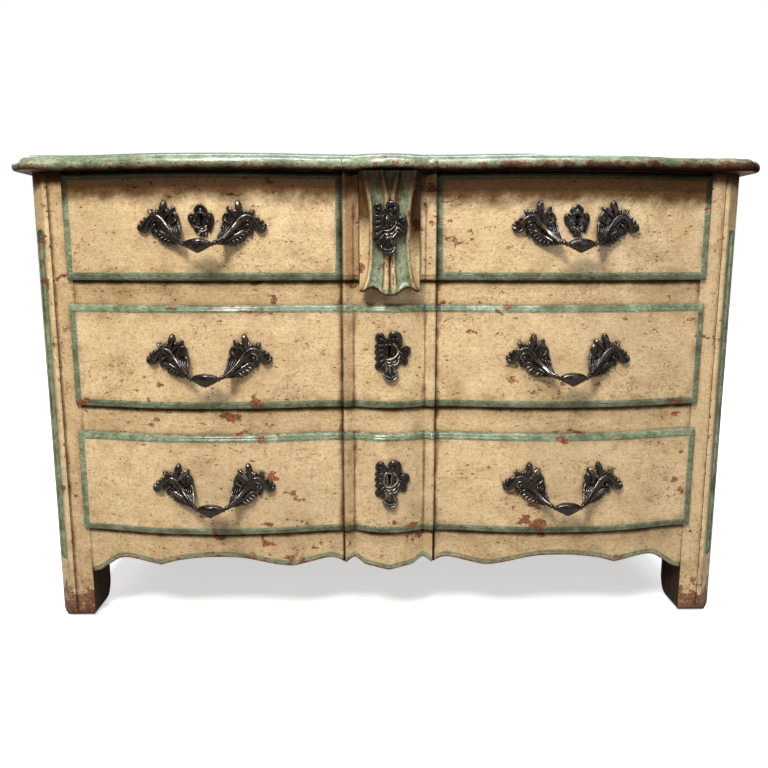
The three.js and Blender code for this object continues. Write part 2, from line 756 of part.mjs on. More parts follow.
// Drawer front: a curved board in the opening with a lip in front of it
function drawerFront(drawer) {
  const { lip: [x0, x1], box: [b0, b1], low, high, side, openingLow, openingHigh } = drawer;
  const steps = lipProfileShares.map(([along]) => along * lipMouldingWidth);
  const moulded = { low: x0, high: x1 };
  if (side === -1) delete moulded.high;
  if (side === 1) delete moulded.low;
  const extra = [
    ...('low' in moulded ? steps.slice(1).map((step) => x0 + step) : []),
    ...('high' in moulded ? steps.slice(1).map((step) => x1 - step) : []),
  ];
  const rows = [...steps.map((step) => low + step), ...steps.map((step) => high - step).reverse()];
  const rise = (x, z) => {
    const distances = [z - low, high - z];
    if ('low' in moulded) distances.push(x - x0);
    if ('high' in moulded) distances.push(x1 - x);
    const share = Math.min(...distances) / lipMouldingWidth;
    return lipProud * shareCurve(lipProfileShares, Math.min(Math.max(share, 0), 1));
  };
  const lip = levelBoard(
    columns(x0, x1, extra), rows, (x, z) => frontCurve(x) + rise(x, z), (x) => -frontCurve(x) - seatGap,
  );
  const plug = levelBoard(
    columns(b0, b1), [openingLow + runningGap, openingHigh - runningGap],
    (x) => frontCurve(x) + joinDepth, () => frontBackFace,
  );
  const { low: boxLow, high: boxHigh, bottomLevel } = boxLevels(drawer);
  const sidePlaces = [
    [b0 - cutOverrun, b0 + boxSideThickness + seatGap],
    [b1 - boxSideThickness - seatGap, b1 + cutOverrun],
  ];
  const sockets = tailPoints(boxLow, boxHigh, seatGap);
  const sideSockets = sidePlaces.flatMap((range) => sockets.map((points) => sidePrism(points, range)));
  const bottomGroove = block(
    [b0 + boxSideThickness - boxGrooveDepth, b1 - boxSideThickness + boxGrooveDepth],
    [frontBackFace - boxGrooveDepth - seatGap, frontBackFace + cutOverrun],
    [bottomLevel - seatGap, bottomLevel + boxBottomThickness + seatGap],
  );
  const lockHigh = openingHigh - runningGap;
  const lockRecess = block(
    [drawer.lockX - lockWidth / 2 - seatGap, drawer.lockX + lockWidth / 2 + seatGap],
    [lockFace - seatGap, frontBackFace + cutOverrun],
    [lockHigh - lockHeight - seatGap, lockHigh + cutOverrun],
  );
  return shaped(plug, {
    joined: [lip],
    cut: [
      ...sideSockets, bottomGroove, lockRecess,
      keyhole(drawer.lockX, drawer.keyZ, [-frontReach, lockFace + cutOverrun]),
    ],
  });
}

function drawerSide(drawer, [x0, x1], inward) {
  const { low, high, bottomLevel, backLow, backHigh } = boxLevels(drawer);
  const outline = [
    [frontBackFace + seatGap, low],
    ...tailPoints(low, high, 0).flat().map(([y, z]) => [y === frontBackFace ? y + seatGap : y, z]),
    [frontBackFace + seatGap, high], [boxRear, high], [boxRear, low],
  ];
  const inner = inward > 0
    ? [x1 - boxGrooveDepth - seatGap, x1 + cutOverrun]
    : [x0 - cutOverrun, x0 + boxGrooveDepth + seatGap];
  const through = [x0 - cutOverrun, x1 + cutOverrun];
  const grooveHeights = [bottomLevel - seatGap, bottomLevel + boxBottomThickness + seatGap];
  return shaped(sidePrism(outline, [x0, x1]), {
    cut: [
      block(inner, [0, boxRear + cutOverrun], grooveHeights),
      ...pinPoints(backLow, backHigh, seatGap).map((points) => sidePrism(points, through)),
    ],
  });
}

function drawerBack(drawer, [x0, x1]) {
  const { backLow, backHigh } = boxLevels(drawer);
  const inner = [x0 + boxSideThickness + seatGap, x1 - boxSideThickness - seatGap];
  return shaped(block(inner, [boxRear - boxBackThickness, boxRear], [backLow, backHigh]), {
    joined: pinPoints(backLow, backHigh, 0).map((points) => sidePrism(points, [x0, x1])),
  });
}

function drawerBottom(drawer, [x0, x1]) {
  const { bottomLevel } = boxLevels(drawer);
  return block(
    [x0 + boxSideThickness - boxGrooveDepth, x1 - boxSideThickness + boxGrooveDepth],
    [frontBackFace - boxGrooveDepth, boxRear],
    [bottomLevel, bottomLevel + boxBottomThickness],
  );
}

// A cast plate bent to the drawer front: an outline cut out of a curved slab, with a raised middle
function castPlate(x, z, shares, halfWidth, halfHeight, faceAt) {
  const outline = (scale) => shares.map(([a, b]) => [x + a * halfWidth * scale, z + b * halfHeight * scale]);
  const xs = columns(x - halfWidth - cutOverrun, x + halfWidth + cutOverrun);
  const zs = [z - halfHeight - cutOverrun, z + halfHeight + cutOverrun];
  const back = (at) => -faceAt(at) - seatGap;
  const slab = (thickness) => levelBoard(xs, zs, (at) => faceAt(at) + seatGap + thickness, back);
  const depth = [-frontReach, 0];
  const raised = shaped(slab(plateReliefThickness), { kept: [frontPrism(outline(reliefShare), depth)] });
  return shaped(slab(plateThickness), { kept: [frontPrism(outline(1), depth)], joined: [raised] });
}

// Cast handle: two leaf sprays flat on the front, joined by two arms and a long boss in front
function leafSpray(x, z, mirror) {
  const outline = leafOutlineShares.map(([a, b]) => [x + mirror * a * handleHalfWidth, z + b * handleRise]);
  const slab = levelBoard(
    columns(x - handleHalfWidth - cutOverrun, x + handleHalfWidth + cutOverrun),
    [z - handleRise - cutOverrun, z + handleRise + cutOverrun],
    (at) => frontFace(at) + seatGap + leafThickness, (at) => -frontFace(at) - seatGap,
  );
  return shaped(slab, { kept: [frontPrism(outline, [-frontReach, 0])] });
}

function handleArm(x, z, mirror) {
  const route = new THREE.CatmullRomCurve3(armRouteShares.map(([a, b, forward]) => {
    const at = x + mirror * a * handleHalfWidth;
    const face = frontFace(at) * (1 - forward) + frontFace(x) * forward + leafThickness / 2;
    const lift = forward * (handleProjection - leafThickness / 2);
    return new THREE.Vector3(at, -face - lift, z + b * handleRise);
  }));
  const section = new THREE.Shape();
  section.absellipse(0, 0, armHalfDepth, armHalfWidth, 0, Math.PI * 2, false);
  return new THREE.ExtrudeGeometry(section, { steps: 8, curveSegments: 3, extrudePath: route });
}

function handleBoss(x, z) {
  const profile = bossShares.map(([radius, along]) => new THREE.Vector2(
    radius * bossRadius, along * bossLength / 2,
  ));
  const boss = new THREE.LatheGeometry(profile, 8).rotateZ(Math.PI / 2);
  return boss.translate(x, -frontFace(x) - handleProjection, z);
}

function castHandle(x, z) {
  return shaped(leafSpray(x, z, 1), {
    joined: [leafSpray(x, z, -1), handleArm(x, z, 1), handleArm(x, z, -1), handleBoss(x, z)],
  });
}

// Lock case: keyhole in front, bolt chamber open at the top
function lockCase(drawer) {
  const high = drawer.openingHigh - runningGap;
  const x = drawer.lockX;
  const halfChamber = boltWidth / 2 + boltClearance;
  const body = block(
    [x - lockWidth / 2, x + lockWidth / 2],
    [lockFace, frontBackFace],
    [high - lockHeight, high],
  );
  return shaped(body, {
    cut: [
      block(
        [x - halfChamber, x + halfChamber],
        [boltFace - boltClearance, boltFace + boltThickness + boltClearance],
        [high - boltHeight - seatGap, high + cutOverrun],
      ),
      keyhole(x, drawer.keyZ, [lockFace - cutOverrun, boltFace + boltThickness]),
    ],
  });
}

function lockBolt(drawer) {
  const high = drawer.openingHigh - runningGap;
  const x = drawer.lockX;
  return block(
    [x - boltWidth / 2, x + boltWidth / 2],
    [boltFace, boltFace + boltThickness],
    [high - boltHeight, high],
  );
}

// Assembly
function buildCarcass() {
  topBoard();
  const post = frontPost();
  addPiece('front_right_post', post, creamPaint());
  addPiece('front_left_post', mirrored(post), creamPaint());
  const rear = rearPost();
  addPiece('rear_right_post', rear, oldOak());
  addPiece('rear_left_post', mirrored(rear), oldOak());
  const panel = sidePanel();
  addPiece('right_side_panel', panel, creamPaint());
  addPiece('left_side_panel', mirrored(panel), creamPaint());
  addPiece('back_panel', backPanel(), oldOak());
  const locksUnder = {
    top_front_rail: [-topHandleOffset, topHandleOffset],
    upper_front_rail: [0],
    lower_front_rail: [0],
  };
  for (const [name, range] of Object.entries(railRanges)) {
    const mortises = locksUnder[name].map((x) => boltMortise(x, range[0]));
    addPiece(name, railBetweenPosts(range, railDepth, mortises), creamPaint());
  }
  addPiece('front_apron', apron(), creamPaint());
  addPiece('centre_block', centreBlock(), creamPaint());
  addPiece('carved_tongue', carvedTongue(), greenPaint());
  for (const [row, low] of [['top', topLow], ['middle', middleLow], ['bottom', bottomLow]]) {
    const runner = sideRunner(low + lipOverlap);
    addPiece(`${row}_right_runner`, runner, oldOak());
    addPiece(`${row}_left_runner`, mirrored(runner), oldOak());
  }
  addPiece('top_centre_runner', centreRunner(topLow + lipOverlap), oldOak());
}

function buildDrawer(drawer) {
  const { name, box: [x0, x1] } = drawer;
  addPiece(`${name}_drawer_front`, drawerFront(drawer), creamPaint());
  addPiece(`${name}_drawer_left_side`, drawerSide(drawer, [x0, x0 + boxSideThickness], 1), oldOak());
  addPiece(`${name}_drawer_right_side`, drawerSide(drawer, [x1 - boxSideThickness, x1], -1), oldOak());
  addPiece(`${name}_drawer_back`, drawerBack(drawer, [x0, x1]), oldOak());
  addPiece(`${name}_drawer_bottom`, drawerBottom(drawer, [x0, x1]), oldOak());
  for (const x of drawer.handleX) {
    const which = drawer.side === 0 ? `${x < 0 ? 'left' : 'right'}_` : '';
    addPiece(`${name}_${which}handle`, castHandle(x, drawer.handleZ), bronze());
  }
  const small = drawer.side !== 0;
  const outline = small
    ? [smallPlateShares, smallPlateHalfWidth, smallPlateHalfHeight]
    : [largePlateShares, largePlateHalfWidth, largePlateHalfHeight];
  const plate = castPlate(drawer.lockX, drawer.plateZ, ...outline, frontFace);
  const hole = keyhole(drawer.lockX, drawer.keyZ, [-frontReach, 0]);
  addPiece(`${name}_keyhole_plate`, shaped(plate, { cut: [hole] }), bronze());
  addPiece(`${name}_lock_case`, lockCase(drawer), iron());
  addPiece(`${name}_lock_bolt`, lockBolt(drawer), iron());
}

buildCarcass();
drawers.forEach(buildDrawer);
const ornamentZ = (topLow + topHigh) / 2 - ornamentDrop;
const ornamentSeat = Math.max(...[-ornamentHalfHeight, ornamentHalfHeight].map((offset) => (
  tongueProjection((ornamentZ + offset - tongueLow) / (tongueHigh - tongueLow))
)));
addPiece('blind_ornament', castPlate(
  0, ornamentZ, largePlateShares, ornamentHalfWidth, ornamentHalfHeight, () => ornamentSeat,
), bronze());

export default chest;
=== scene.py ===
"""A painted commode chest: old paint, carved wood and dark cast metal round its solid parts.

Lengths are in metres, the front faces -Y and the origin is on the floor.
"""
import bisect
import math
from types import SimpleNamespace

import bmesh
import bpy
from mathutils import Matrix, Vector


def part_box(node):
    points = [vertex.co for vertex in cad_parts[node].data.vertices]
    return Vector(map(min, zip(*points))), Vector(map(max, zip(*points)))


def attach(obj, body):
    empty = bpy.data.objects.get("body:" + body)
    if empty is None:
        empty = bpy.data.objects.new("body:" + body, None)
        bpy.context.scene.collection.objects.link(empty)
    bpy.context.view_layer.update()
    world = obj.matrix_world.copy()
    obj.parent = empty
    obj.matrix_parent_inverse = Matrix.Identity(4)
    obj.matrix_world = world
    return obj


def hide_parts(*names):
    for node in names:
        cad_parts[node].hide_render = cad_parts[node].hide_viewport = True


bl_info = {
    "name": "Painted commode chest",
    "version": (1, 0, 0),
    "blender": (4, 5, 0),
    "location": "3D View > Sidebar > Commode",
    "description": "Gives a commode chest its paint, carving and cast metal",
    "category": "Object",
}

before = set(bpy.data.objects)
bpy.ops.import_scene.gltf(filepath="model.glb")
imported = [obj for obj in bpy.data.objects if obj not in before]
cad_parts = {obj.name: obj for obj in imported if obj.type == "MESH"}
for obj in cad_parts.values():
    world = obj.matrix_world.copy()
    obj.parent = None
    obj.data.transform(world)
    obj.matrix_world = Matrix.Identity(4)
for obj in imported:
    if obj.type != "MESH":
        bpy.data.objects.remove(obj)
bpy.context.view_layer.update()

MM = 0.001

# Places taken from the solid parts
POST_LOW, POST_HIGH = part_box("front_right_post")
PANEL_LOW, PANEL_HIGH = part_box("right_side_panel")
TOP_LOW, TOP_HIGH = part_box("top_board")
APRON_LOW, APRON_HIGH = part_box("front_apron")
REAR_LOW, REAR_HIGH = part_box("rear_right_post")
OPENING = POST_LOW.x
CARCASS_DEPTH = 560 * MM
POST_FACE = REAR_HIGH.y - CARCASS_DEPTH

# Crossbow curve of the front: two wings, a groove at the inner end of each, and the bulge between them
WING_BULGE = 37.5 * MM
GROOVE_OUTER = 84 * MM
GROOVE_MIDDLE = 83 * MM
ARRIS = 63 * MM
CENTRE_RISE = 34 * MM
WING_SHARES = [
    (0, 0), (0.07, 0.12), (0.16, 0.41), (0.26, 0.71), (0.37, 0.9), (0.54, 1), (0.69, 0.945), (0.8, 0.8),
    (0.9, 0.59), (1, 0.48),
]
CENTRE_STEPS = [(GROOVE_OUTER, 18 * MM), (82 * MM, 14.5 * MM), (80 * MM, 25 * MM), (ARRIS, 15.5 * MM)]
CENTRE_SHARES = (0.72, 0.36, 0)
CENTRE_EDGES = (84, 82, 80, 74, 68, 63, 54, 45, 36, 27, 18, 9, 0)

# Drawer fronts
LIP_PROUD = 12 * MM
LIP_LEAST = 2 * MM
TOUCHING = 0.01 * MM
TOP_BAND_START = 79 * MM
DRAWERS = ("top_left", "top_right", "middle", "bottom")

# Finish of the painted pieces. Each point of a mesh carries how far it lies inside the green border, its
# distance to a rubbed edge, its distance to darkening that is partly dirt in the creases and partly painted
# shade (the shadow under the top and under the drawer lips, the shade in hollows and inside the keyholes),
# and its dullness, from 0 to 1, which is smoke on the paint and painted shade on the sides that turn from
# the light. At a distance of FAR nothing shows, and at WORN_BARE or at the fully darkened distance all there
# is.
BORDER_WIDTH = 13.5 * MM
FAR = 200 * MM
WORN_BARE = -6 * MM
# Distance at which all the dirt and painted shade shows
FULLY_DARKENED = -8 * MM
ACROSS = ("paint_across", "oak_across")
UPRIGHT = ("paint_upright", "oak_upright")


# Curves

def stretch_at(shares, at):
    """The two points of a line that a place lies between, and the number of the second."""
    places = [place for place, _ in shares]
    index = min(max(bisect.bisect_right(places, at), 1), len(shares) - 1)
    return shares[index - 1], shares[index], index


def straight(shares, at):
    """Height of a broken line at a place along it."""
    (x0, y0), (x1, y1), _ = stretch_at(shares, at)
    return y0 + (y1 - y0) * min(max((at - x0) / (x1 - x0), 0), 1)


def eased(shares, at):
    """Height of a smooth curve through the same points."""
    (x0, y0), (x1, y1), index = stretch_at(shares, at)

    def slope(i):
        low, high = shares[max(i - 1, 0)], shares[min(i + 1, len(shares) - 1)]
        return (high[1] - low[1]) / (high[0] - low[0])

    span = x1 - x0
    t = min(max((at - x0) / span, 0), 1)
    m0, m1 = slope(index - 1) * span, slope(index) * span
    return (
        (2 * t ** 3 - 3 * t ** 2 + 1) * y0 + (t ** 3 - 2 * t ** 2 + t) * m0
        + (3 * t ** 2 - 2 * t ** 3) * y1 + (t ** 3 - t ** 2) * m1
    )


def centre_bulge(x):
    """How far the bulge between the grooves stands forward of the posts."""
    low = CENTRE_STEPS[-1][1]
    return low + (CENTRE_RISE - low) * (1 - (x / ARRIS) ** 2)


FACETS = sorted(
    [(OPENING + (GROOVE_OUTER - OPENING) * along, WING_BULGE * rise) for along, rise in WING_SHARES[:-1]]
    + CENTRE_STEPS + [(ARRIS * share, centre_bulge(ARRIS * share)) for share in CENTRE_SHARES]
)


def faceted_front(x):
    """How far the solid parts' front stands forward of the posts at x."""
    return straight(FACETS, abs(x)) if abs(x) < OPENING else 0.0


def front_curve(x):
    """The same curve without its facets."""
    place = abs(x)
    if place >= OPENING:
        return 0.0
    if place <= ARRIS:
        return centre_bulge(place)
    if place <= GROOVE_OUTER:
        return straight(FACETS, place)
    return WING_BULGE * eased(WING_SHARES, (OPENING - place) / (OPENING - GROOVE_OUTER))


def drawer_face(x):
    """How far the flat of a drawer front stands forward of the posts."""
    return front_curve(x) + LIP_PROUD


def between(four, t):
    """Point of a smooth curve between the middle two of four points, all their values alike."""
    return tuple(
        0.5 * (2 * b + (c - a) * t + (2 * a - 5 * b + 4 * c - d) * t * t + (3 * b - a - 3 * c + d) * t ** 3)
        for a, b, c, d in zip(*four)
    )


def along(points, steps):
    """Points of a smooth curve from the first point to the last."""
    last = len(points) - 1
    made = []
    for step in range(steps + 1):
        place = step / steps * last
        index = min(int(place), last - 1)
        four = [points[min(max(index + offset, 0), last)] for offset in (-1, 0, 1, 2)]
        made.append(between(four, place - index))
    return made


def looped(points, steps):
    """Points of a smooth closed curve."""
    count = len(points)
    return [
        between([points[(index + offset) % count] for offset in (-1, 0, 1, 2)], step / steps)
        for index in range(count) for step in range(steps)
    ]


def distance_to(points, x, z, closed=False):
    """Distance from (x, z) to a line of points; a third value of the points is a radius taken off it."""
    best = math.inf
    last = points[1:] + points[:1] if closed else points[1:]
    for a, b in zip(points, last):
        ex, ez = b[0] - a[0], b[1] - a[1]
        t = min(max(((x - a[0]) * ex + (z - a[1]) * ez) / max(ex * ex + ez * ez, 1e-12), 0), 1)
        reach = math.hypot(x - a[0] - ex * t, z - a[1] - ez * t)
        if len(a) > 2:
            reach -= a[2] + (b[2] - a[2]) * t
        best = min(best, reach)
    return best


# Meshes

def lofted(bm, loops):
    """Adds a skin over closed loops of points, with its ends filled."""
    rows, count = len(loops), len(loops[0])
    made = bmesh.ops.create_grid(bm, x_segments=rows - 1, y_segments=count, size=1)["verts"]
    for vert in made:
        row = round((vert.co.x + 1) / 2 * (rows - 1))
        place = round((vert.co.y + 1) / 2 * count)
        vert.co = loops[row][place % count]
    bmesh.ops.remove_doubles(bm, verts=made, dist=1e-6)
    made = [vert for vert in made if vert.is_valid]
    edges = dict.fromkeys(edge for vert in made for edge in vert.link_edges if len(edge.link_faces) == 1)
    bmesh.ops.holes_fill(bm, edges=list(edges), sides=0)
    faces = dict.fromkeys(face for vert in made for face in vert.link_faces)
    bmesh.ops.recalc_face_normals(bm, faces=list(faces))


def copied(node):
    """A copy of a solid part's mesh, its corners merged and its flat faces whole."""
    bm = bmesh.new()
    bm.from_mesh(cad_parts[node].data)
    bmesh.ops.remove_doubles(bm, verts=bm.verts, dist=1e-5)
    bmesh.ops.dissolve_limit(bm, angle_limit=math.radians(0.3), verts=bm.verts, edges=bm.edges)
    return bm


def sliced(bm, axis, places, dist=1e-6):
    """Cuts edges right through a mesh, at places along an axis."""
    normal = Vector([float(index == axis) for index in range(3)])
    for place in sorted(set(places)):
        bmesh.ops.bisect_plane(
            bm, geom=bm.verts[:] + bm.edges[:] + bm.faces[:], dist=dist,
            plane_co=normal * place, plane_no=normal,
        )


def curve_places(low, high, step=11 * MM):
    """Places along x where a curved front needs an edge."""
    fine = [sign * place * MM for sign in (-1, 1) for place in CENTRE_EDGES]
    count = int((OPENING - GROOVE_OUTER) / step)
    wing = [GROOVE_OUTER + (OPENING - GROOVE_OUTER) * i / count for i in range(1, count + 1)]
    return [x for x in fine + wing + [-x for x in wing] if low < x < high]


def smoothed_front(bm, rise_at=None):
    """Moves a faceted front onto the smooth curve, and its lip onto the moulding's profile."""
    for vert in bm.verts:
        ahead = POST_FACE - vert.co.y
        if ahead < TOUCHING:
            continue
        facet = faceted_front(vert.co.x)
        rise = ahead - facet
        if rise_at and rise > LIP_LEAST:
            vert.co.y = POST_FACE - front_curve(vert.co.x) - rise_at(vert.co.x, vert.co.z)
        elif facet > TOUCHING:
            vert.co.y += (facet - front_curve(vert.co.x)) * min(ahead / facet, 1)


def add_piece(bm, kind, node, body, looks, finish=None, pick=None, sharp=34):
    """Makes the object that stands for a solid: smooth where it is soft, its finish marked on its points.

    finish gives, for a point: how far it lies inside a green border, its distance to a rubbed edge, its
    distance to darkening that is crease dirt and painted shade, and its dullness, which is smoke and painted
    shade, from 0 to 1. pick gives the number of a face's material among its looks.
    """
    bmesh.ops.remove_doubles(bm, verts=bm.verts, dist=2e-6)
    for face in bm.faces:
        face.smooth = True
        if pick:
            face.material_index = pick(face)
    mesh = bpy.data.meshes.new(f"{kind}_{node}")
    bm.to_mesh(mesh)
    bm.free()
    mesh.set_sharp_from_angle(angle=math.radians(sharp))
    if finish:
        marks = mesh.attributes.new("finish", "FLOAT_COLOR", "POINT")
        marks.data.foreach_set("color", [value for vert in mesh.vertices for value in finish(vert.co)])
    for look in looks:
        mesh.materials.append(materials()[look])
    piece = bpy.data.objects.new(mesh.name, mesh)
    bpy.context.scene.collection.objects.link(piece)
    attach(piece, body)
    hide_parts(node)


def outward(face):
    """How far a face looks away from the chest's middle, from -1 to 1."""
    return face.normal.x * (1 if face.calc_center_median().x > 0 else -1)


# Materials

def linear(hex_value):
    """An sRGB hex colour as linear light."""
    made = []
    for shift in (16, 8, 0):
        share = (hex_value >> shift & 255) / 255
        made.append(share / 12.92 if share <= 0.04045 else ((share + 0.055) / 1.055) ** 2.4)
    return (*made, 1.0)


def add_node(tree, kind, inputs=None, output=0, **settings):
    """Adds a node with its settings and links; returns one of its outputs, or the node for output None."""
    node = tree.nodes.new("ShaderNode" + kind)
    for name, value in settings.items():
        setattr(node, name, value)
    for name, value in (inputs or {}).items():
        if isinstance(value, bpy.types.NodeSocket):
            tree.links.new(value, node.inputs[name])
        else:
            node.inputs[name].default_value = value
    return node if output is None else node.outputs[output]


def new_material(name):
    """A material with no nodes but its place, and that place."""
    material = bpy.data.materials.new(name)
    material.use_nodes = True
    tree = material.node_tree
    tree.nodes.clear()
    return material, tree, add_node(tree, "TexCoord", output="Object")


def noise_fields(tree, place, **fields):
    """Fields of noise: each has the size of its patches along x, y and z in mm, its detail and roughness."""
    made = {}
    for name, (sizes, detail, rough) in fields.items():
        scale = tuple(1 / (size * MM) for size in sizes)
        scaled = add_node(tree, "Mapping", {"Vector": place, "Scale": scale})
        settings = {"Vector": scaled, "Scale": 1.0, "Detail": detail, "Roughness": rough}
        made[name] = add_node(tree, "TexNoise", settings)
    return SimpleNamespace(**made)


def coats(tree, base, layers, blend="MIX"):
    """Lays coats over a colour: each shows where its field climbs from low to high, up to its amount."""
    for field, low, high, amount, tint in layers:
        ends = {0: field, 1: low, 2: high, 4: amount}
        share = add_node(tree, "MapRange", ends, interpolation_type="SMOOTHSTEP")
        base = add_node(tree, "Mix", {0: share, 6: base, 7: tint}, 2, data_type="RGBA", blend_type=blend)
    return base


def shaded(tree, base, tint, reach, low, high, amount, blend="MULTIPLY"):
    """Lays a colour into the hollows that lie within reach of other surfaces, by their ambient occlusion:
    painted shade in the paint and the oak, and the patina in the bronze's hollows.
    """
    hollow = add_node(tree, "AmbientOcclusion", {"Distance": reach}, "AO", samples=6)
    share = add_node(tree, "MapRange", {0: hollow, 1: low, 2: high, 3: amount, 4: 0.0})
    return add_node(tree, "Mix", {0: share, 6: base, 7: tint}, 2, data_type="RGBA", blend_type=blend)


def summed(tree, terms):
    """Sum of fields, each times its weight."""
    total = None
    for field, weight in terms:
        part = {0: field, 1: weight}
        if total is not None:
            part[2] = total
        total = add_node(tree, "Math", part, operation="MULTIPLY" if total is None else "MULTIPLY_ADD")
    return total


def close_material(tree, colour, height, distance, strength, **inputs):
    """Closes a material: its shader, with bump from a height."""
    normal = add_node(tree, "Bump", {"Strength": strength, "Distance": distance, "Height": height})
    named = {name.replace("_", " "): value for name, value in inputs.items()}
    shader = add_node(tree, "BsdfPrincipled", {"Base Color": colour, "Normal": normal, **named})
    add_node(tree, "OutputMaterial", {"Surface": shader}, None)


# Value of the flake noise above which paint has come off: lower makes more and larger chips
CHIPPED = 0.66


def cream_coat(tree, field, look):
    """Cream oil paint, thicker in patches and browned in its grain and fine cracks."""
    return coats(tree, look.cream_light, [
        (field.patch, 0.3, 0.72, 1.0, look.cream_deep),
        (field.broad, 0.4, 0.7, 0.55, look.cream_dull),
        (field.mottle, 0.47, 0.74, 0.55, look.cream_brown),
        (field.streak, 0.46, 0.7, 0.32, look.cream_brown),
        (field.grit, 0.47, 0.72, 0.75, look.cream_brown),
        (field.weave, 0.48, 0.72, 0.55, look.cream_brown),
    ])


def green_coat(tree, field, look, flecks):
    """Green border paint: brush streaks, and pale flecks where it has rubbed thin."""
    return coats(tree, look.green_light, [
        (field.patch, 0.3, 0.7, 1.0, look.green_deep),
        (field.brush, 0.42, 0.66, 0.75, look.green_dark),
        (field.mottle, 0.46, 0.7, 0.55, look.green_dark),
        (field.grit, 0.62 - 0.1 * flecks, 0.84 - 0.14 * flecks, flecks, look.green_pale),
    ])


def specked(tree, paint, place, grain, field, look):
    """Specks, scratches and worm holes, one to three millimetres across and drawn out along the brush."""
    scale = tuple(0.5 if size > 10 else 1 for size in grain)
    pulled = add_node(tree, "Mapping", {"Vector": place, "Scale": scale})
    for cell, least, reach in ((4.4, 0.4, 0.3), (9.0, 0.5, 0.2), (26.0, 0.6, 0.12)):
        cells = add_node(tree, "TexVoronoi", {"Vector": pulled, "Scale": 1 / (cell * MM)}, None)
        pick = add_node(tree, "SeparateColor", {0: cells.outputs["Color"]})
        size = add_node(tree, "MapRange", {0: pick, 1: least, 2: 1.0, 4: reach})
        where = add_node(tree, "MapRange", {0: field.dirt, 1: 0.42, 2: 0.62, 3: 0.1, 4: 1.2})
        size = add_node(tree, "Math", {0: size, 1: where}, operation="MULTIPLY")
        speck = summed(tree, [(cells.outputs["Distance"], -1.0), (size, 1.0)])
        paint = coats(tree, paint, [
            (speck, -0.12, 0.0, 0.4, look.cream_brown), (speck, -0.02, 0.05, 0.85, look.speck),
        ])
    return paint


def cracked(tree, place, field):
    """Fine curved cracks, broken short and gathered in patches: 1 in a crack and 0 beside it."""
    noise = add_node(tree, "TexNoise", {"Vector": place, "Scale": 1 / (26 * MM), "Detail": 3.0}, 1)
    bent = add_node(tree, "VectorMath", {0: noise, 1: (0.03, 0.03, 0.03), 2: place}, operation="MULTIPLY_ADD")
    web = add_node(tree, "TexVoronoi", {"Vector": bent, "Scale": 1 / (10 * MM)}, feature="DISTANCE_TO_EDGE")
    broken = add_node(tree, "MapRange", {0: field.gap, 1: 0.5, 2: 0.58})
    patches = add_node(tree, "MapRange", {0: field.craze, 1: 0.49, 2: 0.62, 4: 0.8})
    craze = add_node(tree, "Math", {0: broken, 1: patches}, operation="MULTIPLY")
    line = add_node(tree, "MapRange", {0: web, 1: 0.02, 2: 0.075, 3: 1.0, 4: 0.0})
    return add_node(tree, "Math", {0: line, 1: craze}, operation="MULTIPLY")


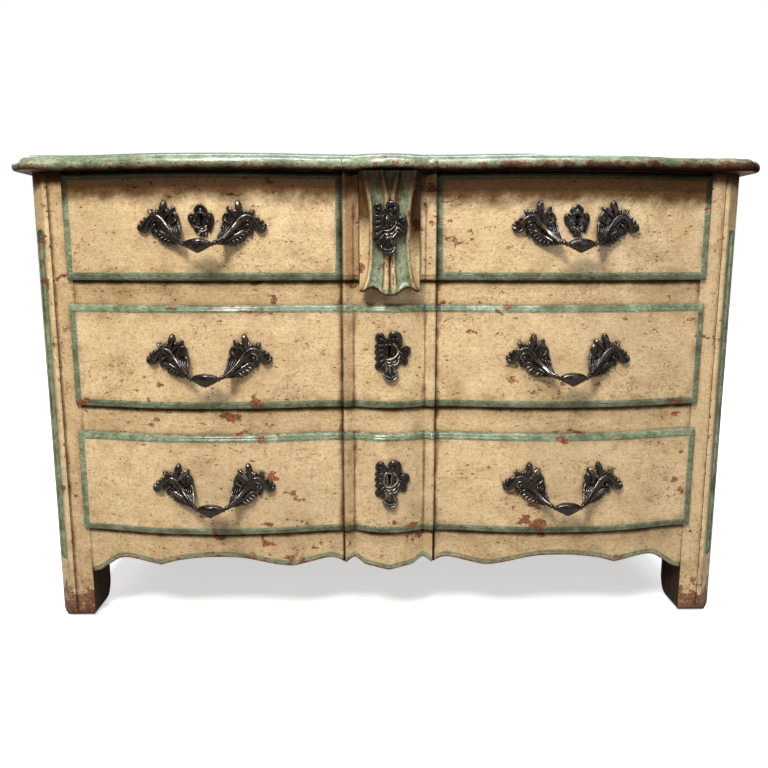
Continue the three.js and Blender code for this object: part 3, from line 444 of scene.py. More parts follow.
def brushed_paint(name, grain, body_is_green=False, wear=6.0, sheen=0.42, flecks=0.5, soil=0.42):
    """Old oil paint brushed on a red-brown ground: crazed, speckled, chipped and rubbed at its edges.

    grain gives the size of its brush marks along x, y and z in mm, wear how wide its edges are rubbed in mm,
    sheen the strength of its wax, flecks that of the pale flecks in the green, and soil how little of the
    ground is brown.
    """
    look = bpy.context.scene.commode_paint
    material, tree, place = new_material(name)
    marks = add_node(tree, "Attribute", output=None, attribute_name="finish")
    dullness_and_shade = marks.outputs["Alpha"]
    band, edge, shade_and_dirt_reach = add_node(tree, "SeparateColor", {0: marks.outputs["Color"]}, None).outputs[:3]
    field = noise_fields(
        tree, place, broad=((170, 170, 170), 2.0, 0.5), dirt=((64, 64, 50), 5.0, 0.68),
        patch=((34, 34, 30), 5.0, 0.6), mottle=((9, 9, 6.5), 4.0, 0.62), grit=((3.4, 3.4, 2.6), 3.0, 0.6),
        streak=(grain, 6.0, 0.62), rub=((22, 22, 18), 6.0, 0.7), flake=((27, 27, 17), 6.0, 0.56),
        gather=((150, 150, 110), 3.0, 0.55), craze=((75, 75, 60), 2.0, 0.5), gap=((8, 8, 6), 2.0, 0.5),
        weave=((1.9, 1.9, 1.5), 2.0, 0.6), brush=(tuple(min(size, 9) for size in grain), 5.0, 0.62),
    )

    # The cream starts where the border ends, along a line that wavers as a hand does
    wavy = summed(tree, [(field.patch, 4.0 * MM), (field.mottle, 1.2 * MM), (band, 1.0)])
    limit = look.band_width + 2.6 * MM
    start, end = (2 * FAR, 3 * FAR) if body_is_green else (limit - 0.4 * MM, limit + 0.4 * MM)
    cream, green = cream_coat(tree, field, look), green_coat(tree, field, look, flecks)
    paint = coats(tree, green, [(wavy, start, end, 1.0, cream)])

    # Rubbed through at the edges: first to an older cream coat, then to the red-brown ground
    ground = coats(tree, look.ground_red, [
        (field.mottle, soil, soil + 0.2, 0.85, look.ground_brown),
        (field.grit, 0.52, 0.64, 0.9 - soil, look.cream_dull),
    ])
    worn = add_node(tree, "MapRange", {0: field.rub, 1: 0.4, 2: 0.76, 4: wear * MM})
    rubbed = summed(tree, [(worn, 1.0), (edge, -1.0)])
    paint = coats(tree, paint, [
        (rubbed, -0.8 * MM, 1.4 * MM, 0.5, look.green_pale if body_is_green else look.cream_deep),
        (rubbed, 0.8 * MM, 2.6 * MM, 0.95, ground),
    ])

    # Chips: irregular flakes down to the ground, gathered here and there
    gathered = add_node(tree, "MapRange", {0: field.gather, 1: 0.46, 2: 0.68, 3: -0.085, 4: 0.08})
    flaked = summed(tree, [(field.flake, 1.0), (gathered, 1.0), (field.grit, 0.03)])
    rim, floor = CHIPPED + 0.003, CHIPPED + 0.014
    paint = coats(tree, paint, [
        (flaked, CHIPPED - 0.02, rim, 0.7, look.crackle), (flaked, rim, floor, 1.0, ground),
    ])
    chip = add_node(tree, "MapRange", {0: flaked, 1: rim, 2: floor})

    paint = specked(tree, paint, place, grain, field, look)
    crack = cracked(tree, place, field)
    paint = coats(tree, paint, [(crack, 0.0, 1.0, 0.75, look.crackle)])

    # Smoke and wax on the boards, random dirt, and darkening that is partly dirt in the creases and partly
    # painted
    # shade: the shadow under the top and under the drawer lips, the shaded sides, and the deepest painted
    # shadow
    shade_and_dirt_depth = summed(tree, [(shade_and_dirt_reach, -1.0), (field.patch, 9 * MM)])
    smoke_and_shade_amount = summed(tree, [(dullness_and_shade, 1.0), (field.dirt, 0.8)])
    # clean is where no dirt or painted shade shows, and the second value where all of it shows
    clean, darkest = -4 * MM, 4.5 * MM
    paint = coats(tree, paint, [
        # random dirt
        (field.dirt, 0.46, 0.76, 0.42, look.smoke_and_shade_glaze),
        # dullness: smoke, and painted shade on the sides that turn from the light
        (smoke_and_shade_amount, 0.4, 1.4, 0.75, look.smoke_and_shade_glaze),
        # dirt in the creases, and painted shade under the top, under the lips and inside the keyholes
        (shade_and_dirt_depth, clean, darkest, 0.95, look.crease_grime_and_shade),
        # the deepest painted shadow, near black
        (shade_and_dirt_depth, darkest, 8 * MM, 0.5, look.speck),
    ], "MULTIPLY")
    # painted shade: the grime colour laid into the hollows by their ambient occlusion
    paint = shaded(tree, paint, look.crease_grime_and_shade, 16 * MM, 0.2, 0.85, 0.7)

    height = summed(tree, [
        (field.streak, 0.5), (field.grit, 0.35), (field.mottle, 0.5),
        (chip, -0.9), (crack, -1.0), (rubbed, -60.0),
    ])
    rough = summed(tree, [
        (field.patch, 0.3), (field.grit, 0.16), (chip, 0.25), (field.mottle, 0.12), (dullness_and_shade, 0.25),
        (add_node(tree, "MapRange", {0: shade_and_dirt_depth, 1: clean, 2: darkest}), 0.35),
    ])
    waxed = add_node(tree, "Math", {
        0: add_node(tree, "MapRange", {0: shade_and_dirt_depth, 1: clean, 2: darkest, 3: sheen, 4: 0.0}),
        1: add_node(tree, "MapRange", {0: dullness_and_shade, 1: 0.0, 2: 0.9, 3: 1.0, 4: 0.05}),
    }, operation="MULTIPLY")
    gloss = add_node(tree, "MapRange", {0: shade_and_dirt_depth, 1: clean, 2: darkest, 3: 0.5, 4: 0.1})
    close_material(
        tree, paint, height, 0.4 * MM, 0.75, Roughness=rough, Specular_IOR_Level=gloss,
        Coat_Weight=waxed, Coat_Roughness=0.17,
    )
    return material


def planed_oak(name, grain, light, deep, dark):
    """Old oak, planed by hand and never finished: long open pores, and painted shade in its corners."""
    material, tree, place = new_material(name)
    field = noise_fields(
        tree, place, broad=((140, 140, 140), 3.0, 0.5), line=(tuple(6 * size for size in grain), 3.0, 0.5),
        pore=(tuple(0.9 * size for size in grain), 5.0, 0.65),
    )
    wood = coats(tree, light, [
        (field.line, 0.35, 0.68, 1.0, deep), (field.broad, 0.45, 0.75, 0.55, deep),
        (field.pore, 0.54, 0.72, 0.8, dark),
    ])
    # painted shade in the corners, by ambient occlusion
    wood = shaded(tree, wood, dark, 20 * MM, 0.3, 0.9, 0.6)
    rough = add_node(tree, "MapRange", {0: field.pore, 1: 0.3, 2: 0.7, 3: 0.62, 4: 0.8})
    height = summed(tree, [(field.line, 0.5), (field.pore, -0.8)])
    close_material(tree, wood, height, 0.3 * MM, 0.6, Roughness=rough)
    return material


def cast_bronze(name):
    """Cast bronze, nearly black with age and wax: sharp white highlights from its wax, brown patches, and a
    pale colour on its high places that is rubbed metal and a painted highlight.
    """
    look = bpy.context.scene.commode_metal
    material, tree, place = new_material(name)
    field = noise_fields(tree, place, patch=((6, 6, 6), 5.0, 0.6), pit=((1.6, 1.6, 1.6), 3.0, 0.6))
    raised = add_node(tree, "NewGeometry", output="Pointiness")
    high = summed(tree, [(raised, 1.0), (field.patch, 0.12)])
    # the pale colour on the high places is rubbed metal and a painted highlight
    metal = coats(tree, look.patina, [
        (field.patch, 0.4, 0.7, 0.9, look.patina_brown), (high, 0.56, 0.64, 0.75, look.rubbed),
    ])
    metal = shaded(tree, metal, look.patina, 5 * MM, 0.2, 0.85, 0.85, "MIX")
    rough = add_node(tree, "MapRange", {0: field.patch, 1: 0.3, 2: 0.7, 3: 0.2, 4: 0.4})
    height = summed(tree, [(field.patch, 1.0), (field.pit, 0.3)])
    close_material(
        tree, metal, height, 0.9 * MM, 0.7, Metallic=0.6, Roughness=rough,
        Coat_Weight=0.8, Coat_Roughness=0.1,
    )
    return material


def wrought_iron(name):
    """Hammered iron plate, grey-brown with a little rust in its dents."""
    look = bpy.context.scene.commode_metal
    material, tree, place = new_material(name)
    field = noise_fields(tree, place, dent=((11, 11, 11), 4.0, 0.55), rust=((5, 5, 5), 6.0, 0.7))
    metal = coats(tree, look.iron, [(field.rust, 0.5, 0.68, 0.8, look.rust)])
    rough = add_node(tree, "MapRange", {0: field.rust, 1: 0.4, 2: 0.7, 3: 0.42, 4: 0.75})
    height = summed(tree, [(field.dent, 1.0), (field.rust, 0.4)])
    close_material(tree, metal, height, 0.5 * MM, 0.7, Metallic=0.8, Roughness=rough)
    return material


MATERIALS = {}
UPRIGHT_BRUSH = (2.4, 2.4, 80)


def materials():
    """Every material, made once."""
    if not MATERIALS:
        wood = bpy.context.scene.commode_paint
        light, deep, dark = wood.oak_light, wood.oak_deep, wood.oak_dark
        MATERIALS.update(
            paint_across=brushed_paint("painted_board", (36, 36, 2.0)),
            paint_upright=brushed_paint("painted_post", UPRIGHT_BRUSH, wear=8.0, sheen=0.22, soil=0.26),
            paint_top=brushed_paint(
                "painted_top", (60, 3, 3), body_is_green=True, wear=7.0, sheen=0.85, flecks=0.62, soil=0.3,
            ),
            paint_carved=brushed_paint(
                "painted_carving", UPRIGHT_BRUSH, wear=8.0, sheen=0.05, flecks=0.7, soil=0.34,
            ),
            oak_across=planed_oak("oak_across", (60, 2.2, 2.2), light, deep, dark),
            oak_deepwise=planed_oak("oak_deepwise", (2.2, 60, 2.2), light, deep, dark),
            # the posts' inner and hidden faces: old dark oak, made near black as painted shade for the shade
            # they stand in
            oak_upright=planed_oak("oak_upright", (2.2, 2.2, 60), dark, linear(0x2E1F14), linear(0x170F0A)),
            oak_back=planed_oak("oak_back", (90, 2.5, 2.5), deep, dark, linear(0x2E2015)),
            bronze=cast_bronze("cast_bronze"),
            iron=wrought_iron("wrought_iron"),
        )
    return MATERIALS


# Settings

def colour(label, text, hex_value):
    """A colour setting, from its sRGB hex value."""
    return bpy.props.FloatVectorProperty(
        name=label, description=text, subtype="COLOR", size=4, min=0, max=1, default=linear(hex_value),
    )


def length(label, text, value):
    """A length setting."""
    return bpy.props.FloatProperty(
        name=label, description=text, default=value, min=0, subtype="DISTANCE", unit="LENGTH",
    )


class CommodePaint(bpy.types.PropertyGroup):
    """Colours of the paint and the wood, and the width of the green border"""
    cream_light: colour("Light cream", "Cream paint where it is clean", 0xE8CEA0)
    cream_deep: colour("Deep cream", "Cream paint where it is thicker", 0xD6B788)
    cream_dull: colour("Dull cream", "Cream paint greyed by handling", 0xC9AE86)
    cream_brown: colour("Brown cream", "Brown of the grain and fine cracks", 0xA07F55)
    green_pale: colour("Pale green", "Pale flecks of the green border", 0xC9CAA6)
    green_light: colour("Light green", "Green border where it is clean", 0x9CA889)
    green_deep: colour("Deep green", "Green border where it is thicker", 0x768562)
    green_dark: colour("Dark green", "Brush streaks of the border", 0x48563F)
    ground_red: colour("Red ground", "Red ground bared by chips", 0x9E4819)
    ground_brown: colour("Brown ground", "Brown ground bared by chips", 0x5E351B)
    # the speck colour is also the near black of the deepest painted shadow under the top
    speck: colour("Speck", "Dark specks and worm holes", 0x4A321F)
    crackle: colour("Crackle", "Brown of the fine cracks", 0x65452B)
    # smoke glaze on the boards, and the painted shade on the sides that turn from the light
    smoke_and_shade_glaze: colour("Smoke", "Thin smoke glaze on the boards", 0xB59D82)
    # crease grime, and the colour of the painted shade under the top, under the lips and in the hollows
    crease_grime_and_shade: colour("Crease grime", "Wax and dirt gathered in the creases", 0x5B421A)
    oak_light: colour("Light oak", "Oak of the drawer boxes", 0xA98659)
    oak_deep: colour("Deep oak", "Darker figure of the oak", 0x7C5C3A)
    oak_dark: colour("Dark oak", "Pores and shaded oak", 0x4B3320)
    band_width: length("Border width", "Width of the green border round a drawer front", BORDER_WIDTH)


class CommodeMetal(bpy.types.PropertyGroup):
    """Colours of the castings and the locks"""
    patina: colour("Patina", "Nearly black bronze", 0x1A120C)
    patina_brown: colour("Brown patina", "Warmer patches of the bronze", 0x43331F)
    # pale bronze on the high places: rubbed metal, and a painted highlight on the ridges
    rubbed: colour("Rubbed bronze", "Bronze rubbed bright on the high places", 0xA69A84)
    iron: colour("Iron", "Grey-brown iron of the locks", 0x5A5450)
    rust: colour("Rust", "Rust in the dents of the iron", 0x4F3426)


class CommodeSizes(bpy.types.PropertyGroup):
    """Sizes of the woodwork's mouldings and carving"""
    nosing_overhang: length("Top overhang", "How far the top stands out past the front", 25 * MM)
    tongue_relief: length("Carving depth", "Depth of the channels in the carved tongue", 8 * MM)
    apron_roundness: length("Apron rounding", "Radius of the apron's lower edge", 7 * MM)


# Top board

# Profile of the thumb moulding: share of the board's thickness, and how far it is drawn in, in mm
NOSING = [
    (0.0, 5.0), (0.05, 2.2), (0.12, 0.8), (0.2, 0.25), (0.3, 0.0), (0.4, 0.3), (0.52, 1.4), (0.63, 3.4),
    (0.74, 6.4), (0.83, 10.4), (0.9, 15.6), (0.95, 22.0), (0.98, 28.0), (1.0, 34.0),
]
NOSING_MIDDLE = 0.3
UNDER_STEPS = (150.0, 62.0, 44.0, 32.0, 20.0, 12.0)
INNER_STEPS = (38.0, 46.0, 62.0, 95.0, 150.0, 220.0)
# The cut corners and the back edge in plan, and the easy sweep that bridges each groove
CORNER_WIDTH, CORNER_DEPTH = 24 * MM, 26 * MM
BACK_OVERHANG = 12 * MM
SWEEP_START, SWEEP_END = GROOVE_OUTER * 0.97, 130 * MM
SWEEP_LOW, SWEEP_HIGH = 17.4 * MM, 19 * MM


def top_rise(x):
    """How far the top board's front edge follows the crossbow forward at x."""
    near = abs(x)
    if SWEEP_START < near < SWEEP_END:
        share = (near - SWEEP_START) / (SWEEP_END - SWEEP_START)
        return SWEEP_LOW + (front_curve(SWEEP_END) - SWEEP_LOW) * share
    return min(front_curve(x), SWEEP_HIGH) if ARRIS < near <= GROOVE_OUTER else front_curve(x)


def top_outline(setback, overhang):
    """Outline of the top board in plan, drawn in by setback."""
    half = TOP_HIGH.x - setback
    corner = TOP_HIGH.x - CORNER_WIDTH - setback * 0.8
    reach = min(corner, OPENING + 42 * MM)
    places = sorted(set(curve_places(-OPENING, OPENING)) | {-OPENING, OPENING, -reach, reach})
    line, back = POST_FACE - overhang + setback, REAR_HIGH.y + BACK_OVERHANG
    front = [(x * half / TOP_HIGH.x, line - top_rise(x)) for x in places]
    return [
        (-half, back), (-half, line + CORNER_DEPTH), (-corner, line + 1 * MM),
        *front, (corner, line + 1 * MM), (half, line + CORNER_DEPTH), (half, back),
    ]


class COMMODE_OT_top(bpy.types.Operator):
    """Dress the top board: crossbow front, thumb moulding and cut corners"""
    bl_idname = "commode.top"
    bl_label = "Top board"

    def execute(self, context):
        overhang = context.scene.commode_sizes.nosing_overhang
        thickness = TOP_HIGH.z - TOP_LOW.z
        steps = [(TOP_LOW.z, inset) for inset in UNDER_STEPS]
        steps += [(TOP_LOW.z + thickness * rise, inset) for rise, inset in NOSING]
        steps += [(TOP_HIGH.z, inset) for inset in INNER_STEPS]
        bm = bmesh.new()
        lofted(bm, [[Vector((x, y, z)) for x, y in top_outline(inset * MM, overhang)] for z, inset in steps])
        nose = TOP_LOW.z + thickness * NOSING_MIDDLE

        def finish(co):
            inward = min(TOP_HIGH.x - abs(co.x), co.y - (POST_FACE - overhang - front_curve(co.x)))
            rise = co.z - TOP_LOW.z
            if abs(co.x) > POST_HIGH.x - 12 * MM and rise < 1 * MM:
                return 0.0, WORN_BARE, FAR, 0.0
            edge = max(inward, 0.0) * 0.35 + abs(co.z - nose) * 0.25 + 1.5 * MM
            if abs(co.x) > TOP_HIGH.x - 60 * MM and co.y < POST_FACE:
                edge -= 2 * MM
            if rise < 9 * MM:
                edge = min(edge, rise * 0.5 - 1.2 * MM)
            # the right half is more worn than the left and painted darker; the nosing is darker towards its
            # lower edge
            right = max(co.x, 0.0)
            flat = 0.8 if inward > 20 * MM and rise > 20 * MM else 0.1
            dullness_and_shade = max(0.9 - rise / (20 * MM), flat)
            return 0.0, edge - right * 0.005, rise * 0.4 + 2.6 * MM - right * 0.007, dullness_and_shade

        def bare_under(face):
            centre = face.calc_center_median()
            inside = abs(centre.y - POST_FACE) > 90 * MM and abs(centre.x) < POST_HIGH.x - 40 * MM
            return int(face.normal.z < -0.9 and inside)

        looks = ("paint_top", "oak_back")
        add_piece(bm, "dressed", "top_board", "carcass", looks, finish, bare_under)
        return {"FINISHED"}


# Posts and panels

FLUTE_RADIUS = 9 * MM
FLUTE_SUNK = 4 * MM
FLUTE_LOW, FLUTE_HIGH = 115 * MM, 724 * MM
POST_WIDTH = POST_HIGH.x - POST_LOW.x
POST_CANT = (Vector((44.5 * MM, 1.2 * MM)), Vector((POST_WIDTH, 22 * MM)))
# Bead and quirk of a front post in mm, from its inner face to its canted corner: across, and behind its face
POST_MOULDING = [
    (0, 0), (6, 0), (12, 0), (18, 0), (24, 0.2), (29, 0.9), (31.5, 1.6), (33, 1.9), (34.2, 1.2), (35, 0),
    (36, -0.9), (38, -1.5), (40, -1.6), (42, -1.2), (43.5, -0.2), (44.5, 1.2),
]
QUIRK, BEAD_START, BEAD_END = 33 * MM, 36 * MM, 44 * MM
# Foot: radius of its rounding in front, behind and at its sides
FOOT_FRONT, FOOT_BACK, FOOT_SIDE = 18 * MM, 44 * MM, 14 * MM
FOOT_TOP = 80 * MM


def flute_depth(across, z):
    """Depth of the stopped flute, across from its middle."""
    beyond = max(z - (FLUTE_HIGH - FLUTE_RADIUS), (FLUTE_LOW + FLUTE_RADIUS) - z, 0)
    reach = math.hypot(across, beyond)
    return max(math.sqrt(max(FLUTE_RADIUS ** 2 - reach ** 2, 0)) - FLUTE_SUNK, 0)


def drawn_in(radius, z):
    """How far a rounding of a radius draws a foot in at a height."""
    return radius - math.sqrt(max(radius ** 2 - (radius - min(z, radius)) ** 2, 0))


def post_section(z, depth):
    """Section of a front post at a height, as points (x from the inner face, y from the face)."""
    made = [(x * MM, y * MM) for x, y in POST_MOULDING]
    start, end = POST_CANT
    length = (end - start).length
    direction = (end - start).normalized()
    inward = Vector((-direction.y, direction.x))
    for step in range(1, 26):
        place = start + direction * length * step / 26
        made.append(tuple(place + inward * flute_depth(length * (step / 26 - 0.5), z)))
    made += [(POST_WIDTH, back * MM) for back in (22, 30, 60)]
    made += [(POST_WIDTH, depth), (POST_WIDTH / 2, depth), (0, depth), (0, 40 * MM)]
    near, far, side = drawn_in(FOOT_FRONT, z), drawn_in(FOOT_BACK, z), drawn_in(FOOT_SIDE, z)
    near = near - 1.5 * MM if near < 0.1 * MM else near
    return [(min(max(x, side), POST_WIDTH - side), min(max(y, near), depth - far)) for x, y in made]


def post_heights():
    """Heights of a front post's sections in mm: close together at its foot and at the flute's two ends."""
    foot = [0, 0.6, 1.5, 3, 5, 7, 9, 12, 16, 21, 27, 33, 40, 48, 60, 72, 85]
    low_end = [105 + 1.5 * step for step in range(16)]
    high_end = [706 + 1.5 * step for step in range(15)]
    return foot + low_end + list(range(145, 700, 37)) + high_end + [740, 756, 770, 780, 790, 800, 810]


def post_finish(co):
    """Finish of a front post: the green flute, and wear along its bead, arrises and foot; dirt and painted
    shade in its quirk, beside the drawers and round the flute's ends, and a painted shadow under the top.
    """
    x, y = abs(co.x) - OPENING, co.y - POST_FACE
    start, end = POST_CANT
    direction = (end - start).normalized()
    offset = Vector((x, y)) - (start + end) / 2
    across = offset.dot(direction)
    on_cant = x > start.x - 0.5 * MM and abs(offset.dot(Vector((-direction.y, direction.x)))) < 7 * MM
    beyond = max(co.z - FLUTE_HIGH, FLUTE_LOW - co.z)
    outer = math.hypot(x - end.x, y - end.y)
    foot = co.z * 0.06 - 3 * MM if co.z < FOOT_TOP else (co.z - FOOT_TOP) * 0.3 + 1.8 * MM
    edge = min(outer - 0.8 * MM, foot, x + 4 * MM)
    # painted shadow of the top board on the post's upper end
    shade_and_dirt_reach = min(co.z * 0.08 + 3.6 * MM, (TOP_LOW.z - co.z - 14 * MM) * 0.4)
    if on_cant:
        band = max(abs(across) - 13.2 * MM, beyond) + BORDER_WIDTH
        rounded = math.hypot(across, max(beyond + FLUTE_RADIUS, 0)) - FLUTE_RADIUS * 0.9
        shade_and_dirt_reach = min(shade_and_dirt_reach, abs(rounded) * (1.6 if beyond > -FLUTE_RADIUS else 3) + 3 * MM)
        return band, min(edge, abs(abs(across) - 12.6 * MM) + 1.5 * MM), shade_and_dirt_reach, 0.2
    if x < QUIRK + 1.5 * MM:
        # darker beside the drawers and in the quirk: dirt and painted shade
        shade_and_dirt_reach = min(shade_and_dirt_reach, x * 0.5 + 5.5 * MM, abs(x - QUIRK) + 2.4 * MM)
        # painted shade: the left post's flat is painted darker than the right one's
        return (FAR, edge, shade_and_dirt_reach + 2.6 * MM, 0.0) if co.x > 0 else (FAR, edge, shade_and_dirt_reach, 0.4)
    edge = min(edge, abs(x - BEAD_START) * 0.8 + 2.2 * MM, abs(x - BEAD_END) + 2.5 * MM)
    return FAR, edge, shade_and_dirt_reach, 0.1


class COMMODE_OT_posts(bpy.types.Operator):
    """Dress the front posts: bead, quirk, canted corner with its stopped flute, and rounded foot"""
    bl_idname = "commode.posts"
    bl_label = "Front posts"

    def execute(self, context):
        depth = POST_HIGH.y - POST_FACE
        levels = [height * MM for height in post_heights()] + [POST_HIGH.z]
        for side, node in ((1, "front_right_post"), (-1, "front_left_post")):
            bm = bmesh.new()
            lofted(bm, [
                [Vector((side * (OPENING + x), POST_FACE + y, z)) for x, y in post_section(z, depth)]
                for z in levels
            ])
            add_piece(
                bm, "dressed", node, "carcass", UPRIGHT, post_finish,
                lambda face: int(face.normal.y > 0.8 or outward(face) < -0.8), sharp=40,
            )
        return {"FINISHED"}


# The sunk panel of a side: distance in from its edge and depth below its face, in mm
PANEL_TONGUE = 9 * MM
PANEL_STEPS = [
    (0, 0), (30, 0), (55, 0), (66, 0), (69.2, 0.4), (70, 1.4), (71.5, 4.6), (74, 6), (78, 5.8), (83, 4.6),
    (88, 2.4), (91.2, 0.5), (92, 0), (108, 0), (140, 0), (165, 0),
]
MOULDING_OUTER, MOULDING_SUNK, MOULDING_INNER = 70 * MM, 74 * MM, 92 * MM


def rectangle(x, sides, ends):
    """The outline of a side panel in its plane at x, drawn in by margins at its sides and at its ends."""
    near, far = POST_HIGH.y + sides, REAR_LOW.y - sides
    low, high = PANEL_LOW.z + ends, PANEL_HIGH.z - ends
    return [Vector((x, near, low)), Vector((x, far, low)), Vector((x, far, high)), Vector((x, near, high))]


def panel_finish(co):
    """Finish of a side panel: a green line in its sunk moulding, rubbed along its edges, and darker along its
    edges and in the sunk moulding, as dirt and painted shade.
    """
    inset = min(co.y - POST_HIGH.y, REAR_LOW.y - co.y, co.z - PANEL_LOW.z, PANEL_HIGH.z - co.z)
    sunk = PANEL_HIGH.x - abs(co.x)
    line = 0.0 if 0.3 * MM < sunk < 7 * MM else FAR
    edge = min(abs(inset - MOULDING_OUTER), abs(inset - MOULDING_INNER)) + 2.5 * MM
    return line, edge, min(abs(inset), abs(inset - MOULDING_SUNK) + 3 * MM), 0.0


def rear_finish(co):
    """Finish of a rear post: worn along its corners and at its foot."""
    corner = min(co.y - REAR_LOW.y, REAR_HIGH.y - co.y)
    return FAR, min(corner + 1 * MM, max(co.z - 30 * MM, 0) * 0.3 + 2 * MM), FAR, 0.0


class COMMODE_OT_sides(bpy.types.Operator):
    """Dress the side panels and the rear posts"""
    bl_idname = "commode.sides"
    bl_label = "Side panels and rear posts"

    def execute(self, context):
        for side, hand in ((1, "right"), (-1, "left")):
            self.panel(side, f"{hand}_side_panel")
            self.rear_post(f"rear_{hand}_post")
        return {"FINISHED"}

    def panel(self, side, node):
        """One side panel: its tongue in the posts, its flat rim, the sunk moulding and the field."""
        depth, height = REAR_LOW.y - POST_HIGH.y, PANEL_HIGH.z - PANEL_LOW.z
        loops = [rectangle(side * x, -PANEL_TONGUE, 0) for x in (PANEL_LOW.x, PANEL_HIGH.x)]
        for inset, sunk in PANEL_STEPS:
            loops.append(rectangle(side * (PANEL_HIGH.x - sunk * MM), inset * MM, inset * MM))
        bm = bmesh.new()
        lofted(bm, loops)
        sliced(bm, 1, [POST_HIGH.y + depth * step / 24 for step in range(1, 24)])
        sliced(bm, 2, [PANEL_LOW.z + height * step / 36 for step in range(1, 36)])
        add_piece(
            bm, "dressed", node, "carcass", ACROSS, panel_finish,
            lambda face: int(outward(face) < -0.5),
        )

    def rear_post(self, node):
        """One rear post, its outer corners eased."""
        bm = copied(node)
        sliced(bm, 2, [60 * MM * step for step in range(1, 14)])
        bent = [edge for edge in bm.edges if abs(edge.calc_face_angle(0)) > 1]
        outer = [edge for edge in bent if all(abs(vert.co.x) > REAR_HIGH.x - 1e-4 for vert in edge.verts)]
        bmesh.ops.bevel(
            bm, geom=outer, offset=2 * MM, segments=2, profile=0.5, affect="EDGES", material=-1,
        )

        def hidden(face):
            return int(abs(face.normal.x) < 0.5 or abs(face.calc_center_median().x) < REAR_HIGH.x - 20 * MM)

        add_piece(bm, "dressed", node, "carcass", UPRIGHT, rear_finish, hidden)


# Rails, apron and centre block

# Heights under a drawer lip, in mm, that get edges so that the lip's painted shadow can fade
LIP_LINE_DROPS = (12, 8, 4, 2, 0)
APRON_CREST = 133 * MM
APRON_BACK = 28 * MM
# Scallops of the apron's lower edge, from the middle (0) to the post (1): share of the way up to the crest
SCALLOPS = [
    (0, 0.3), (0.015, 0.34), (0.05, 0.44), (0.08, 0.5), (0.113, 0.76), (0.148, 0.54), (0.17, 0.72),
    (0.2, 0.78), (0.27, 0.6), (0.33, 0.5), (0.48, 0.94), (0.56, 1), (0.63, 0.95), (0.7, 0.8), (0.755, 0.57),
    (0.86, 0.78), (0.9, 0.72), (0.94, 0.38), (0.98, 0.03), (1, 0),
]
SCALLOP_CUSPS = [0, 0.148, 0.755, 1]
SCALLOP_EDGES = (0.155, 0.141, 0.762, 0.748, 0.125, 0.1, 0.99, 0.97)


def front_or_wood(face):
    """Paint on what faces the room, bare oak behind."""
    centre = face.calc_center_median()
    in_front = centre.y < POST_FACE + 1 * MM and abs(centre.x) < OPENING + 1 * MM
    return int(not (face.normal.y < -0.3 or in_front))


def groove_crease(x):
    """Distance to the darkening in the groove beside the centre, which is dirt and painted shade."""
    return abs(abs(x) - GROOVE_OUTER) * 2.2 + 0.8 * MM


def apron_low(x):
    """Height of the apron's scalloped lower edge at x; its curve breaks at the cusps."""
    share = min(abs(x) / (OPENING - 0.3 * MM), 1)
    for start, end in zip(SCALLOP_CUSPS, SCALLOP_CUSPS[1:]):
        if share <= end:
            part = [point for point in SCALLOPS if start <= point[0] <= end]
            return APRON_LOW.z + (APRON_CREST - APRON_LOW.z) * eased(part, share)
    return APRON_LOW.z


